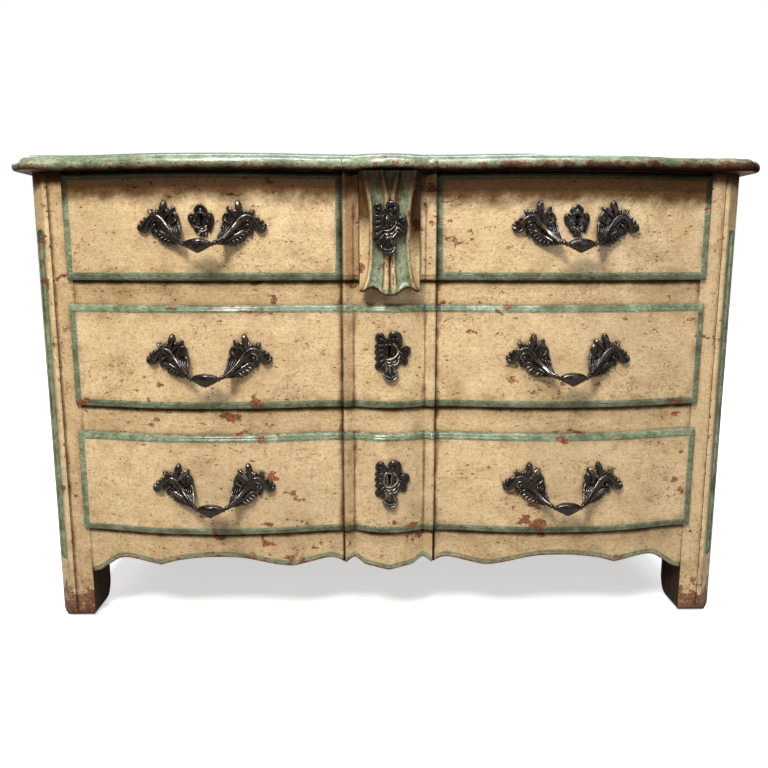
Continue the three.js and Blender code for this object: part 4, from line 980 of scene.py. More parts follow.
class COMMODE_OT_rails(bpy.types.Operator):
    """Dress the rails, the scalloped apron and the centre block"""
    bl_idname = "commode.rails"
    bl_label = "Rails and apron"

    def execute(self, context):
        lips = {"upper_front_rail": "top_left_drawer_front", "lower_front_rail": "middle_drawer_front"}
        for node in ("top_front_rail", "upper_front_rail", "lower_front_rail"):
            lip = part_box(lips[node])[0].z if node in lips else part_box(node)[1].z + FAR
            self.rail(node, OPENING, lip)
        self.rail("centre_block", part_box("centre_block")[1].x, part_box("centre_block")[1].z + FAR)
        self.apron(context.scene.commode_sizes.apron_roundness)
        return {"FINISHED"}

    def rail(self, node, reach, lip):
        """One rail or the block, smoothed; lip is the height of the drawer lip that hangs over it, under
        which the rail is painted darker as the lip's shadow.
        """
        low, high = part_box(node)
        bm = copied(node)
        sliced(bm, 0, curve_places(-reach, reach))
        sliced(bm, 2, [(low.z + high.z) / 2] if high.z - low.z > 20 * MM else [])
        smoothed_front(bm)
        sliced(bm, 2, [lip - drop * MM for drop in LIP_LINE_DROPS if low.z < lip - drop * MM < high.z])

        def finish(co):
            # the block is darker at its edges beside the tongue: dirt and painted shade
            if node == "centre_block":
                return FAR, FAR, abs(abs(co.x) - high.x) * 1.5 + 2 * MM, 0.2
            height = min(co.z - low.z, high.z - co.z)
            # painted shadow under the lip; darker in the groove, at the posts and along the edges: dirt and
            # painted shade
            shade_and_dirt_reach = min(
                groove_crease(co.x), lip - co.z - 3 * MM, OPENING - abs(co.x) + 5 * MM, height * 0.5 + 7 * MM,
            )
            # the upper rail's left half is made darker than the rest
            return FAR, height + 3.2 * MM, shade_and_dirt_reach, 0.45 if co.x < 0 and low.z > 500 * MM else 0.25

        add_piece(bm, "dressed", node, "carcass", ACROSS, finish, front_or_wood)

    def apron(self, radius):
        """The apron: its scalloped edge is rounded to a radius in front."""
        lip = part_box("bottom_drawer_front")[0].z
        reach = OPENING - 0.3 * MM
        places = sorted(set(
            [round(x, 6) for x in curve_places(-reach, reach, 6 * MM)]
            + [sign * reach * share for sign in (-1, 1) for share in (*SCALLOP_CUSPS, *SCALLOP_EDGES)]
        ))
        loops = []
        for x in places:
            low, face, back = apron_low(x), POST_FACE - front_curve(x), POST_FACE + APRON_BACK
            section = [(back, low), (face + radius, low)]
            for step in (1, 2, 3, 4):
                turn = math.pi / 2 * step / 5
                behind = radius * (1 - math.sin(turn)) * 0.8
                section.append((face + behind, low + radius * (1 - math.cos(turn))))
            section += [(face, low + rise) for rise in (radius, 10 * MM, 12 * MM, 14 * MM, 22 * MM)]
            for index, drop in enumerate(LIP_LINE_DROPS):
                section.append((face, max(lip - drop * MM, low + (23 + 0.2 * index) * MM)))
            section += [(face, APRON_HIGH.z), (back, APRON_HIGH.z)]
            loops.append([Vector((x, y, z)) for y, z in section])
        bm = bmesh.new()
        lofted(bm, loops)

        def finish(co):
            up = co.z - apron_low(co.x)
            # painted shadow under the bottom drawer's lip; darker in the groove, at the posts and towards its
            # top: dirt and painted shade
            shade_and_dirt_reach = min(
                groove_crease(co.x), OPENING - abs(co.x) + 3 * MM, lip - co.z - 3 * MM,
                (APRON_HIGH.z - co.z) * 0.4 + 5 * MM,
            )
            return up + 1.5 * MM, up * 0.5 - 1.9 * MM, shade_and_dirt_reach, 0.3

        add_piece(bm, "dressed", "front_apron", "carcass", ACROSS, finish, front_or_wood)


# Carved tongue, from its foot (0) to its top (1), and across from its middle (0) to its edge (1)

TONGUE_WIDTHS = [
    (0, 0.98), (0.06, 0.95), (0.14, 0.83), (0.28, 0.74), (0.5, 0.71), (0.7, 0.73), (0.84, 0.82), (0.93, 0.94),
    (1, 0.99),
]
TONGUE_RELIEF = [
    (0, 0.3), (0.03, 0.42), (0.07, 0.85), (0.14, 1), (0.21, 0.88), (0.27, 0.42), (0.36, 0.12), (0.55, 0.02),
    (0.74, 0.3), (0.86, 0.86), (0.93, 0.85), (1, 0.25),
]
TONGUE_LOBES = [
    (0, 1), (0.16, 0.97), (0.32, 0.72), (0.46, 0.3), (0.6, 0.04), (0.68, 0), (0.8, 0.12), (0.92, 0.42),
    (1, 0.55),
]
TONGUE_ROWS = [
    0, 0.006, 0.014, 0.03, 0.05, 0.08, 0.12, 0.16, 0.2, 0.26, 0.33, 0.42, 0.5, 0.58, 0.66, 0.74, 0.8, 0.85,
    0.89, 0.92, 0.95, 0.98, 1,
]
COVE_STEPS = (1.0, 0.9, 0.8, 0.7, 0.6, 0.5, 0.42, 0.34, 0.26, 0.18, 0.12, 0.07, 0.03)
TONGUE_HALF = 48 * MM
TONGUE_PROUD, TONGUE_FLARE = 24, 9
LOBE_DROP = 12.5 * MM
RIB_SPREAD = 0.8
COVE_REACH = 51.5 * MM
TONGUE_BLOCK = POST_FACE - CENTRE_RISE - 8.8 * MM
TONGUE_BACK = POST_FACE - CENTRE_RISE - 8.3 * MM


def tongue_place(u, level):
    """Place across the carving, from 0 at its middle: its two ribs part in a V near the top."""
    spread = max(level - RIB_SPREAD, 0) * 1.5
    near = abs(u)
    return near if near > 0.6 else max(near - spread * (1 - near / 0.6), 0)


def tongue_sunk(u, level, share, relief):
    """How deep the carving lies below its highest ribs."""
    near = tongue_place(u, level)
    rising = min(share / 0.05, 1)
    sunk = relief * (1 - eased(TONGUE_RELIEF, near)) * (0.45 + 0.55 * rising)
    sunk += 3 * MM * max(1 - share / 0.014, 0) ** 1.6
    if near < 0.02 and level > RIB_SPREAD:
        sunk += 4 * MM * min((level - RIB_SPREAD) / 0.05, 1)
    return sunk


class COMMODE_OT_tongue(bpy.types.Operator):
    """Dress the carved tongue: concave channels, double rib, flared ends and three lobes"""
    bl_idname = "commode.tongue"
    bl_label = "Carved tongue"

    def execute(self, context):
        low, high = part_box("carved_tongue")
        relief = context.scene.commode_sizes.tongue_relief
        rows = sorted(TONGUE_ROWS + [(a + b) / 2 for a, b in zip(TONGUE_ROWS, TONGUE_ROWS[1:])])
        left = [(-1.0, out) for out in COVE_STEPS]
        right = [(1.0, out) for out in reversed(COVE_STEPS)]
        loops = []
        for u, out in left + [(-1 + 2 * step / 110, 0.0) for step in range(111)] + right:
            bottom = low.z + LOBE_DROP * (1 - eased(TONGUE_LOBES, abs(u)))
            loop = []
            for share in rows:
                z = bottom + (high.z - bottom) * share
                level = (z - low.z) / (high.z - low.z)
                flare = math.cos(math.pi * min(max(level, 0), 1)) ** 4
                forward = CENTRE_RISE + (TONGUE_PROUD + TONGUE_FLARE * flare) * MM
                x = TONGUE_HALF * u * eased(TONGUE_WIDTHS, level)
                y = POST_FACE - forward + tongue_sunk(u, level, share, relief)
                x += u * (COVE_REACH - abs(x)) * out
                loop.append(Vector((x, TONGUE_BLOCK + (y - TONGUE_BLOCK) * (1 - out) ** 2.2, z)))
            loop += [Vector((point.x, TONGUE_BACK, point.z)) for point in (loop[-1], loop[0])]
            loops.append(loop)
        bm = bmesh.new()
        lofted(bm, loops)
        strip = TONGUE_HALF * 0.86

        def finish(co):
            level = min(max((co.z - low.z) / (high.z - low.z), 0), 1)
            u = abs(co.x) / (TONGUE_HALF * eased(TONGUE_WIDTHS, level))
            near = tongue_place(u, level)
            outside = min(max(0.26 - near, near - 0.9), near - 0.03, 0.93 - level, (level - 0.05) * 2)
            ridge = min(abs(near - 0.14) * 1.1 + max(0.3 - level, 0) * -0.03, abs(near - 0.9)) * strip
            rim = co.z - low.z - LOBE_DROP * (1 - eased(TONGUE_LOBES, min(u, 1)))
            ridge = min(ridge, rim * 0.7 - 0.5 * MM)
            # darker in its channels, beside its ribs, at its edges and along the lobes' lower rims, as dirt
            # and painted shade, and a painted shadow under the top
            shade_and_dirt_reach = min(
                abs(near - 0.28) * strip * 1.4 + 3.5 * MM, near * strip * 2 + 2.5 * MM,
                abs(u - 1) * strip * 1.6 + 3 * MM, (TOP_LOW.z - co.z - 30 * MM) * 0.3, rim * 1.2 - 1 * MM,
            )
            # painted shade in the coves: the right cove is painted dark further down than the left
            if u > 1.02:
                shade_and_dirt_reach = min(shade_and_dirt_reach, (TOP_LOW.z - co.z - (62 if co.x < 0 else 100) * MM) * 0.16)
            return outside * strip + BORDER_WIDTH, ridge + 0.9 * MM, shade_and_dirt_reach, 0.3

        add_piece(bm, "dressed", "carved_tongue", "carcass", ("paint_carved",), finish)
        return {"FINISHED"}


# Drawer fronts

LIP_EDGE = 3.6 * MM
MOULDING_WIDTH = 7.6 * MM
MOULDING_RISE = 10.9 * MM
MOULDING_STEP = 0.8 * MM
LIP_INSETS = (0.25, 0.8, 1.6, 2.8, 4.4, 6.0, 7.6, 8.4, 12.4, 14.6)
KEYHOLE_HALF, KEYHOLE_HEIGHT = 6 * MM, 13 * MM


def lip_rise(inset):
    """Profile of the lip: a quarter round, a small step, then the flat field."""
    if inset >= MOULDING_WIDTH + MOULDING_STEP:
        return LIP_PROUD
    if inset >= MOULDING_WIDTH:
        return MOULDING_RISE + (LIP_PROUD - MOULDING_RISE) * (inset - MOULDING_WIDTH) / MOULDING_STEP
    share = max(inset, 0) / MOULDING_WIDTH
    return LIP_EDGE + (MOULDING_RISE - LIP_EDGE) * math.sqrt(1 - (1 - share) ** 2)


def behind_front(face):
    """Bare oak behind a drawer front's lip, paint on its face."""
    centre = face.calc_center_median()
    return int(POST_FACE - centre.y < front_curve(centre.x) + 0.8 * MM)


def drawer_finish(co, low, inset, short, key):
    """Finish of a drawer front: low is its lowest corner, inset the distance in from its moulded edges."""
    near = abs(co.x)
    # inside the keyhole the front is painted near black: painted shade
    if abs(co.x - key[0]) < KEYHOLE_HALF and abs(co.z - key[1]) < KEYHOLE_HEIGHT:
        return FAR, WORN_BARE, FULLY_DARKENED, 1.0
    band = inset
    if short:
        band = FAR if near < TOP_BAND_START else min(inset, near - TOP_BAND_START)
    # darker in the groove, at the arris, at the lip's outer edge and lower side and at the moulding's step:
    # dirt and painted shade
    rim = abs(inset - 8 * MM)
    shade_and_dirt_reach = min(
        abs(near - GROOVE_MIDDLE) * 2.4 + 0.6 * MM, abs(near - ARRIS) * 1.5 + 2.5 * MM,
        max(band - BORDER_WIDTH, 0) * 0.16 + 6 * MM,
        inset * 2.2 + 7.5 * MM, (co.z - low.z) * 1.5 + 4.2 * MM, rim * 1.6 + 5.6 * MM,
    )
    # painted shadow of the top board on the short drawers
    if short:
        beyond = TOP_LOW.z - co.z - (33 if co.x < 0 else 38) * MM
        shade_and_dirt_reach = min(shade_and_dirt_reach, beyond * (0.24 if beyond > 0 else 0.6))
    # painted shade: the strips beside the centre are painted darker on the left, where they turn from the
    # light, than on the right
    dullness_and_shade = 0.5 if -GROOVE_OUTER < co.x < -ARRIS else 0.0
    if short and near < TOP_BAND_START:
        dullness_and_shade = max(dullness_and_shade, 0.95 if co.x < 0 else 0.05)
    return band, min(inset + 2 * MM, rim + 3.2 * MM), shade_and_dirt_reach, dullness_and_shade


class COMMODE_OT_drawers(bpy.types.Operator):
    """Dress the four drawer fronts: smooth crossbow curve, lip moulding and painted border"""
    bl_idname = "commode.drawers"
    bl_label = "Drawer fronts"

    def execute(self, context):
        for name in DRAWERS:
            self.front(name, name.startswith("top"))
        return {"FINISHED"}

    def front(self, name, short):
        """One drawer front; a short one has no moulding on the side of the centre block."""
        node = name + "_drawer_front"
        low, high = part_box(node)
        moulded_low, moulded_high = name != "top_right", name != "top_left"
        plate_low, plate_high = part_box(name + "_keyhole_plate")
        key_x = (plate_low.x + plate_high.x) / 2 if short else 0.0
        key_z = (plate_low.z + plate_high.z) / 2 + (0 if short else 9 * MM)
        insets = [inset * MM for inset in LIP_INSETS]
        places = curve_places(low.x, high.x)
        places += [low.x + inset for inset in insets if moulded_low]
        places += [high.x - inset for inset in insets if moulded_high]
        places += [key_x + side * reach * MM for side in (-1, 1) for reach in (5.8, 7.2)]
        levels = [low.z + inset for inset in insets] + [high.z - inset for inset in insets]
        levels += [low.z + (high.z - low.z) * share for share in (0.2, 0.35, 0.5, 0.65, 0.8)]
        levels += [key_z + side * reach * MM for side in (-1, 1) for reach in (12.8, 14.2)]
        # edges under the top, for the painted shadow of the top board on the short drawers
        levels += [TOP_LOW.z - drop * MM for drop in (22, 28, 33, 38, 43, 49, 56, 64) if short]
        bm = copied(node)
        sliced(bm, 0, places)
        sliced(bm, 2, levels)

        def inset_at(x, z):
            found = [z - low.z, high.z - z]
            found += [x - low.x] if moulded_low else []
            found += [high.x - x] if moulded_high else []
            return min(found)

        smoothed_front(bm, lambda x, z: lip_rise(inset_at(x, z)))
        add_piece(
            bm, "dressed", node, name + "_drawer", ACROSS,
            lambda co: drawer_finish(co, low, inset_at(co.x, co.z), short, (key_x, key_z)), behind_front,
        )


# Cast metal. A pattern is made once, in millimetres: x across, y off the drawer front and z up.
# It is a thin pierced sheet inside an outline, with rounded bars laid over it that follow a line.
# The points of a bar give x, z and its height over the sheet, then half its width and half its thickness.

# How far the sheet's edge is rounded off, and over what width
EDGE_DROP, EDGE_WIDTH = 1.6, 0.9
PLATE_LIFT = 3.4


def like_bars(style, root, tip, lines):
    """Bars of one kind that start as root and end as tip; their first and last points give x and z alone."""
    return [(style, [(*line[0], *root), *line[1:-1], (*line[-1], *tip)]) for line in lines]


def bar_section(style, count):
    """Offsets across and up for the loop of a bar: round, leaf with a vein, or reeded."""
    made = []
    for index in range(count):
        turn = 2 * math.pi * index / count
        across, up = math.cos(turn), math.sin(turn)
        if up > 0:
            if style == "leaf":
                up *= 1 - 0.6 * math.exp(-(across / 0.24) ** 2)
            elif style == "reeded":
                up *= 0.55 + 0.45 * abs(math.cos(across * math.pi * 1.5))
        made.append((across, up if up > 0 else up * 0.7))
    return made


def bar(bm, ground, points, style="round", steps=14, count=14):
    """Adds one bar to a pattern, over the ground that its sheet gives."""
    line = along([(x, z, ground(x, z) + lift, wide, thick) for x, z, lift, wide, thick in points], steps)
    section = bar_section(style, count)
    loops = []
    for index, (x, z, lift, wide, thick) in enumerate(line):
        before, after = line[max(index - 1, 0)], line[min(index + 1, steps)]
        direction = Vector((after[0] - before[0], after[2] - before[2], after[1] - before[1])).normalized()
        across = Vector((direction.z, 0, -direction.x)).normalized()
        up = across.cross(direction)
        up = up if up.y > 0 else -up
        centre = Vector((x, lift, z))
        loops.append([
            centre + across * a * max(wide, 0.05) + up * b * max(thick, 0.05) for a, b in section
        ])
    lofted(bm, loops)


def sheet(bm, outline, ground, openings, cell, thick):
    """Adds the sheet of a pattern: its outline filled, cut fine, pierced, domed and given its thickness."""
    edge = looped(outline, 4)
    bm.faces.new([bm.verts.new((x, 0, z)) for x, z in edge])
    for axis, values in ((0, [x for x, _ in edge]), (2, [z for _, z in edge])):
        low, high = min(values), max(values)
        sliced(bm, axis, [low + cell * step + cell / 3 for step in range(int((high - low) / cell))], 1e-4)

    def is_pierced(face):
        middle = face.calc_center_median()
        return any(distance_to(opening, middle.x, middle.z) < 0 for opening in openings)

    bmesh.ops.delete(bm, geom=[face for face in bm.faces if is_pierced(face)], context="FACES")
    if bm.faces[:][0].normal.y < 0:
        bmesh.ops.reverse_faces(bm, faces=bm.faces[:])
    for vert in bm.verts:
        inward = distance_to(edge, vert.co.x, vert.co.z, True)
        vert.co.y = ground(vert.co.x, vert.co.z) - EDGE_DROP * math.exp(-inward / EDGE_WIDTH)
    back = bmesh.ops.extrude_face_region(bm, geom=bm.faces[:])["geom"]
    front = [item for item in back if isinstance(item, bmesh.types.BMVert)]
    bmesh.ops.translate(bm, verts=front, vec=Vector((0, thick, 0)))
    bmesh.ops.translate(bm, verts=bm.verts, vec=Vector((0, -thick, 0)))


def cast_piece(pattern, node, body, x0, z0, face=drawer_face):
    """Makes a casting from its pattern, laid on a curved front about (x0, z0)."""
    bm = bmesh.new()
    bm.from_mesh(pattern)
    for vert in bm.verts:
        at = x0 + vert.co.x * MM
        vert.co = (at, POST_FACE - face(at) - max(vert.co.y, 0.35) * MM, z0 + vert.co.z * MM)
    bmesh.ops.recalc_face_normals(bm, faces=bm.faces)
    add_piece(bm, "cast", node, body, ("bronze",), sharp=70)


def finished_pattern(bm, name):
    """The mesh of a pattern, which its castings are copied from."""
    mesh = bpy.data.meshes.new(name)
    bm.to_mesh(mesh)
    bm.free()
    return mesh


# Pulls: the left spray, the height of its sheet by the distance from its root, and the boss

BOSS_LIFT, BOSS_HALF, BOSS_RAISE = 38.0, 26, 0.6
BOSS_FIELD = 0.72
PULL_DROP = 74 * MM
SPREAD_START, SPREAD_LENGTH = 4, 14
SPREAD_OUT, SPREAD_UP, SPREAD_SQUASH = 5.4, 5.6, 0.125
SPRAY_ROOT = (-27.0, 3.0)
SPRAY_LIFT = [(0, 33), (5, 26), (9, 19.5), (14, 14), (20, 10), (28, 7.6), (40, 6.2), (60, 5), (100, 4.2)]
SPRAY_OUTLINE = [
    (-29, 1), (-34, -3), (-38, -7), (-41, -6.5), (-44, -9.5), (-48, -8), (-52, -10), (-55, -5.5), (-60, -5),
    (-61, -1), (-66.5, 0), (-66, 5), (-71, 8), (-69.5, 13), (-75, 10.5), (-79.5, 13), (-80.5, 20),
    (-77, 23.5), (-83, 22.5), (-87, 18.5), (-93, 16.2), (-99, 17.8), (-102.5, 22.5), (-103.8, 29),
    (-102.5, 33.5), (-99, 32.5), (-99, 38.5), (-96.5, 41), (-94, 38.5), (-91.5, 45), (-87.5, 46), (-84, 47.5),
    (-81, 50.5), (-84, 56), (-84, 61.5), (-80.5, 57.5), (-78, 61.5), (-75.5, 57), (-73, 52), (-71, 57),
    (-69, 60), (-66.5, 58.5), (-64.5, 62), (-63, 68), (-61, 74), (-57, 78.4), (-53, 75.5), (-51.5, 68),
    (-52.5, 61), (-48, 61), (-43.5, 65.5), (-38.5, 66), (-37.2, 61), (-38.5, 57.5), (-34, 52), (-31, 45),
    (-32.5, 39), (-29.5, 34), (-28.5, 26), (-28.6, 18), (-29.6, 9),
]
SPRAY_PIERCED = [
    [(-68, 22.5, 1.4), (-63, 25, 2.7), (-58, 23.6, 2.7), (-54.5, 19.5, 1.4)],
    [(-46, 46, 1.3), (-43.6, 42, 2.3), (-42, 37, 1.6)],
]
SPRAY_BARS = [
    # the reeded scroll that carries the boss, and the outer arm that it turns into
    ("reeded", [
        (-26, 3, 3, 4, 3.6), (-33, 4.4, 6, 4.2, 3.6), (-40, 11, 8, 4.4, 3.6), (-47.5, 21, 7.5, 4.6, 3.6),
        (-55, 31, 5, 6, 4), (-62, 40, 4, 6.8, 4), (-69, 46, 4, 6, 3.8), (-76, 46, 4, 5, 3.6),
        (-82, 41, 4, 5, 3.6), (-87, 33.5, 3.6, 5.4, 3.6), (-90, 27, 3, 5.4, 3.4), (-95, 22.5, 2.6, 5.2, 3),
        (-100, 24, 2, 4, 2.6), (-102, 29.5, 1, 2, 1.6),
    ]),
    ("round", [
        (-83, 30, 2, 0.8, 1.4), (-88, 22, 3.4, 2, 1.8), (-95, 18.8, 3, 2, 1.8), (-101, 22, 2, 1.4, 1.4),
    ]),
    # the scroll's inner end, rolled into a ball
    ("round", [
        (-69, 40, 3, 1, 1.6), (-75, 38, 3.4, 2.4, 2), (-79, 33, 3, 2.2, 2), (-77.5, 27, 2.6, 1.8, 1.8),
        (-73, 25.5, 2, 1, 1.2),
    ]),
    ("round", [
        (-76.5, 29, 1.5, 0.6, 1.6), (-74.4, 30, 3.4, 3.6, 3.2), (-71.6, 30.2, 3.4, 3.6, 3.2),
        (-69.5, 31, 1.5, 0.6, 1.6),
    ]),
    # tips along the outer arm
    ("round", [(-86, 40, 1.6, 1.4, 1.4), (-89, 43.4, 2.4, 2.8, 2.2), (-90.6, 45, 1.4, 1, 1)]),
    ("round", [(-91.5, 36, 1.6, 1.4, 1.4), (-95, 38.5, 2, 2, 1.8), (-97.6, 40.2, 1.2, 0.8, 0.9)]),
    ("round", [(-96, 29, 1.4, 1.4, 1.4), (-100, 31.5, 1.8, 1.9, 1.6), (-102.6, 33, 1, 0.7, 0.8)]),
    # upper outer fingers
    ("leaf", [
        (-75, 48, 1.6, 1.4, 1.6), (-79.5, 53, 2.4, 2.6, 2.2), (-82.6, 58, 1.6, 1.9, 1.7),
        (-84, 61, 0.6, 0.5, 0.7),
    ]),
    ("leaf", [
        (-73, 49, 1.6, 1.4, 1.6), (-75.6, 54, 2.6, 2.4, 2.1), (-77.3, 58.4, 1.8, 1.7, 1.6),
        (-78, 61, 0.6, 0.5, 0.7),
    ]),
    ("leaf", [
        (-66, 50, 2, 1.6, 1.6), (-68.4, 54.6, 2.6, 2.8, 2.2), (-69.4, 58.4, 1.6, 1.7, 1.4),
        (-69.4, 60, 0.6, 0.6, 0.7),
    ]),
    # the tall lobe
    ("leaf", [
        (-60.5, 47, 3, 2.6, 2.4), (-60, 55, 3.6, 3.8, 2.8), (-58.4, 63.5, 3.8, 5, 3),
        (-57.2, 71, 2.8, 4.4, 2.8), (-56.8, 75.6, 1.6, 2.6, 1.8), (-56.8, 78, 0.4, 0.6, 0.8),
    ]),
    ("round", [(-64.5, 52, 2, 1.2, 1.4), (-65, 57.6, 2.4, 2, 1.8), (-64, 61.4, 1.4, 1.2, 1.2)]),
    # the second lobe, leaning inward, with a deep valley on its lower side
    ("leaf", [
        (-56.5, 45, 3.4, 2, 2), (-52, 51, 3.8, 3.6, 2.8), (-47, 57, 3.6, 4.2, 2.9),
        (-42.4, 62, 2.6, 3.8, 2.6), (-39.6, 64.8, 1, 1.8, 1.4),
    ]),
    # inner leaf: its rolled rim and the curl at its top
    ("round", [
        (-30, 7, 2, 0.9, 1.2), (-29.6, 15, 2.4, 1.5, 1.7), (-29.4, 23, 2.6, 1.7, 1.8),
        (-30.4, 30, 2.4, 1.7, 1.7), (-33.4, 35, 1.6, 1, 1.2),
    ]),
    ("leaf", [
        (-33.4, 35.6, 1.8, 1.2, 1.4), (-33, 42, 3, 2.4, 2.2), (-36.4, 50, 3.4, 3, 2.6),
        (-41, 53.4, 3, 2.6, 2.4), (-44.8, 50, 2.6, 2, 2), (-44.4, 44.8, 2, 1, 1.2),
    ]),
    ("round", [
        (-36, 47, 1.8, 0.8, 1.2), (-37, 43.6, 2.6, 1.8, 1.8), (-38.4, 39, 2.4, 1.6, 1.6),
        (-39.6, 35, 1.4, 0.8, 1),
    ]),
    ("round", [
        (-34, 44, 1.6, 0.8, 1.2), (-36.6, 38.6, 2.4, 1.9, 1.8), (-41.5, 34.4, 2.6, 2, 1.8),
        (-45.8, 30.4, 1.8, 0.8, 1),
    ]),
    # four flutes that fan out from the root
    *like_bars("round", (2.4, 0.8, 1.4), (1.2, 0.7, 0.9), [
        [(-35, 9), (-40.5, 17, 3.4, 1.5, 2.4), (-45.8, 25.6, 3.4, 1.9, 2.6), (-49, 31.4)],
        [(-33.6, 8.4), (-37.8, 16.4, 3.4, 1.4, 2.4), (-41.8, 25.2, 3.4, 1.8, 2.6), (-44, 31.2)],
        [(-32.2, 8), (-35, 16, 3.4, 1.3, 2.4), (-37.8, 24.6, 3.4, 1.7, 2.6), (-39.4, 30.8)],
        [(-31, 8), (-32.6, 16, 3.2, 1.2, 2.2), (-33.8, 23.8, 3.2, 1.5, 2.4), (-35, 30)],
    ]),
    # lower leaf: broad smooth back, then a row of knobs along its edge
    ("round", [
        (-31, 0, 1, 1, 1.4), (-39, 2.6, 1.6, 3.2, 2.2), (-48, 7.6, 1.8, 4.6, 2.6), (-57, 13, 1.8, 4.6, 2.6),
        (-64.5, 18.6, 1.6, 3.6, 2.2), (-68.6, 21.6, 0.6, 1, 1.2),
    ]),
    ("round", [(-34, -1.6, 1.4, 0.8, 1), (-39.8, -4, 2.6, 2.3, 2.1), (-43.6, -5.6, 1, 0.9, 1)]),
    *like_bars("round", (1.4, 0.8, 1), (1, 1, 1), [
        [(-40.5, -0.6), (-45.8, -3.6, 2.8, 2.5, 2.2), (-49.4, -6.2)],
        [(-46.5, 1.8), (-51.4, -1.6, 2.8, 2.6, 2.3), (-54.6, -4.8)],
        [(-52.5, 5), (-57.4, 1, 2.6, 2.6, 2.2), (-61.4, -2.2)],
        [(-57.5, 9), (-62.6, 5.2, 2.4, 2.6, 2.1), (-66.6, 1.4)],
        [(-62, 13.5), (-67, 10.6, 2.2, 2.2, 1.9), (-70.8, 7.6)],
    ]),
    # small fan at its outer end
    ("leaf", [
        (-67, 20.5, 1.4, 1, 1.2), (-73, 21.2, 2.4, 2.2, 1.9), (-78, 21.4, 1.6, 1.7, 1.4),
        (-80.6, 20.6, 0.5, 0.5, 0.7),
    ]),
    ("leaf", [
        (-67, 18.5, 1.4, 1, 1.2), (-72.6, 16.6, 2.4, 2, 1.8), (-76.8, 14, 1.6, 1.6, 1.4),
        (-78.6, 11.8, 0.5, 0.5, 0.7),
    ]),
    # collar beside the boss
    ("round", [(-31.5, 3.6, 2, 2.4, 2.2), (-28.6, 3, 4.4, 4, 3.6), (-26, 2.4, 3, 2.8, 2.6)]),
]
# The boss from its middle (0) to its tips (1): its heights above and below its line, and half its thickness
BOSS_ROWS = [
    (0, 9.8, 15, 11.4), (0.2, 9.6, 12.8, 11), (0.45, 8.4, 9.4, 9), (0.68, 6.2, 6.4, 6.6),
    (0.82, 4.2, 4.2, 4.4), (0.88, 3, 3, 3.2), (0.92, 4.4, 4.4, 4.6), (0.96, 4.2, 4.2, 4.4),
    (1, 2.6, 2.6, 2.8),
]


def spread_out(vert):
    """Carries a point of the spray outward and up, less near its root, and draws its height in."""
    reach = math.hypot(vert.co.x - SPRAY_ROOT[0], vert.co.z - SPRAY_ROOT[1])
    share = min(max((reach - SPREAD_START) / SPREAD_LENGTH, 0), 1)
    vert.co.x -= SPREAD_OUT * share
    vert.co.z += share * (SPREAD_UP - SPREAD_SQUASH * vert.co.z)


def spray_ground(x, z):
    """The sheet of the spray lies low on the drawer front and rises to the boss."""
    return straight(SPRAY_LIFT, math.hypot(abs(x) + SPRAY_ROOT[0], z - SPRAY_ROOT[1]))


def add_boss(bm):
    """The grip between the sprays: a pointed oval with a raised rim round a flat field."""
    loops = []
    for step in range(49):
        share = -1 + step / 24
        above, below, thick = (
            straight([(row[0], row[column]) for row in BOSS_ROWS], abs(share)) for column in (1, 2, 3)
        )
        loop = []
        for index in range(28):
            turn = 2 * math.pi * index / 28
            across, up = math.cos(turn), math.sin(turn)
            height = above if across > 0 else below
            if up > 0 and abs(share) < BOSS_FIELD:
                sunk = math.exp(-((abs(across) / 0.62) ** 6)) * (1 - (abs(share) / BOSS_FIELD) ** 4)
                up *= 1 - 0.2 * sunk
            loop.append(Vector((share * BOSS_HALF, BOSS_LIFT + thick * up, across * height + BOSS_RAISE)))
        loops.append(loop)
    lofted(bm, loops)


def handle_pattern():
    """The whole pull: a spray, its mirror image, and the boss."""
    bm = bmesh.new()
    sheet(bm, SPRAY_OUTLINE, spray_ground, SPRAY_PIERCED, cell=1.7, thick=2.4)
    for style, points in SPRAY_BARS:
        bar(bm, spray_ground, points, style, 2 * len(points) + 6)
    for vert in bm.verts:
        spread_out(vert)
    other = bmesh.ops.duplicate(bm, geom=bm.verts[:] + bm.edges[:] + bm.faces[:])["geom"]
    mirrored = [item for item in other if isinstance(item, bmesh.types.BMVert)]
    bmesh.ops.scale(bm, vec=(-1, 1, 1), verts=mirrored)
    add_boss(bm)
    return finished_pattern(bm, "pull_pattern")


class COMMODE_OT_handles(bpy.types.Operator):
    """Cast the six fixed pulls: two leaf sprays, their scrolls and the boss between them"""
    bl_idname = "commode.handles"
    bl_label = "Cast pulls"

    def execute(self, context):
        pattern = handle_pattern()
        for name in ("top_left", "top_right", "middle_left", "middle_right", "bottom_left", "bottom_right"):
            node = name + "_handle"
            low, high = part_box(node)
            body = (name if name.startswith("top") else name.split("_")[0]) + "_drawer"
            cast_piece(pattern, node, body, (low.x + high.x) / 2, high.z - PULL_DROP)
        bpy.data.meshes.remove(pattern)
        return {"FINISHED"}


# Keyhole plates and the blind ornament. A key gives x and z of its keyhole's head, and the drop of its slot.

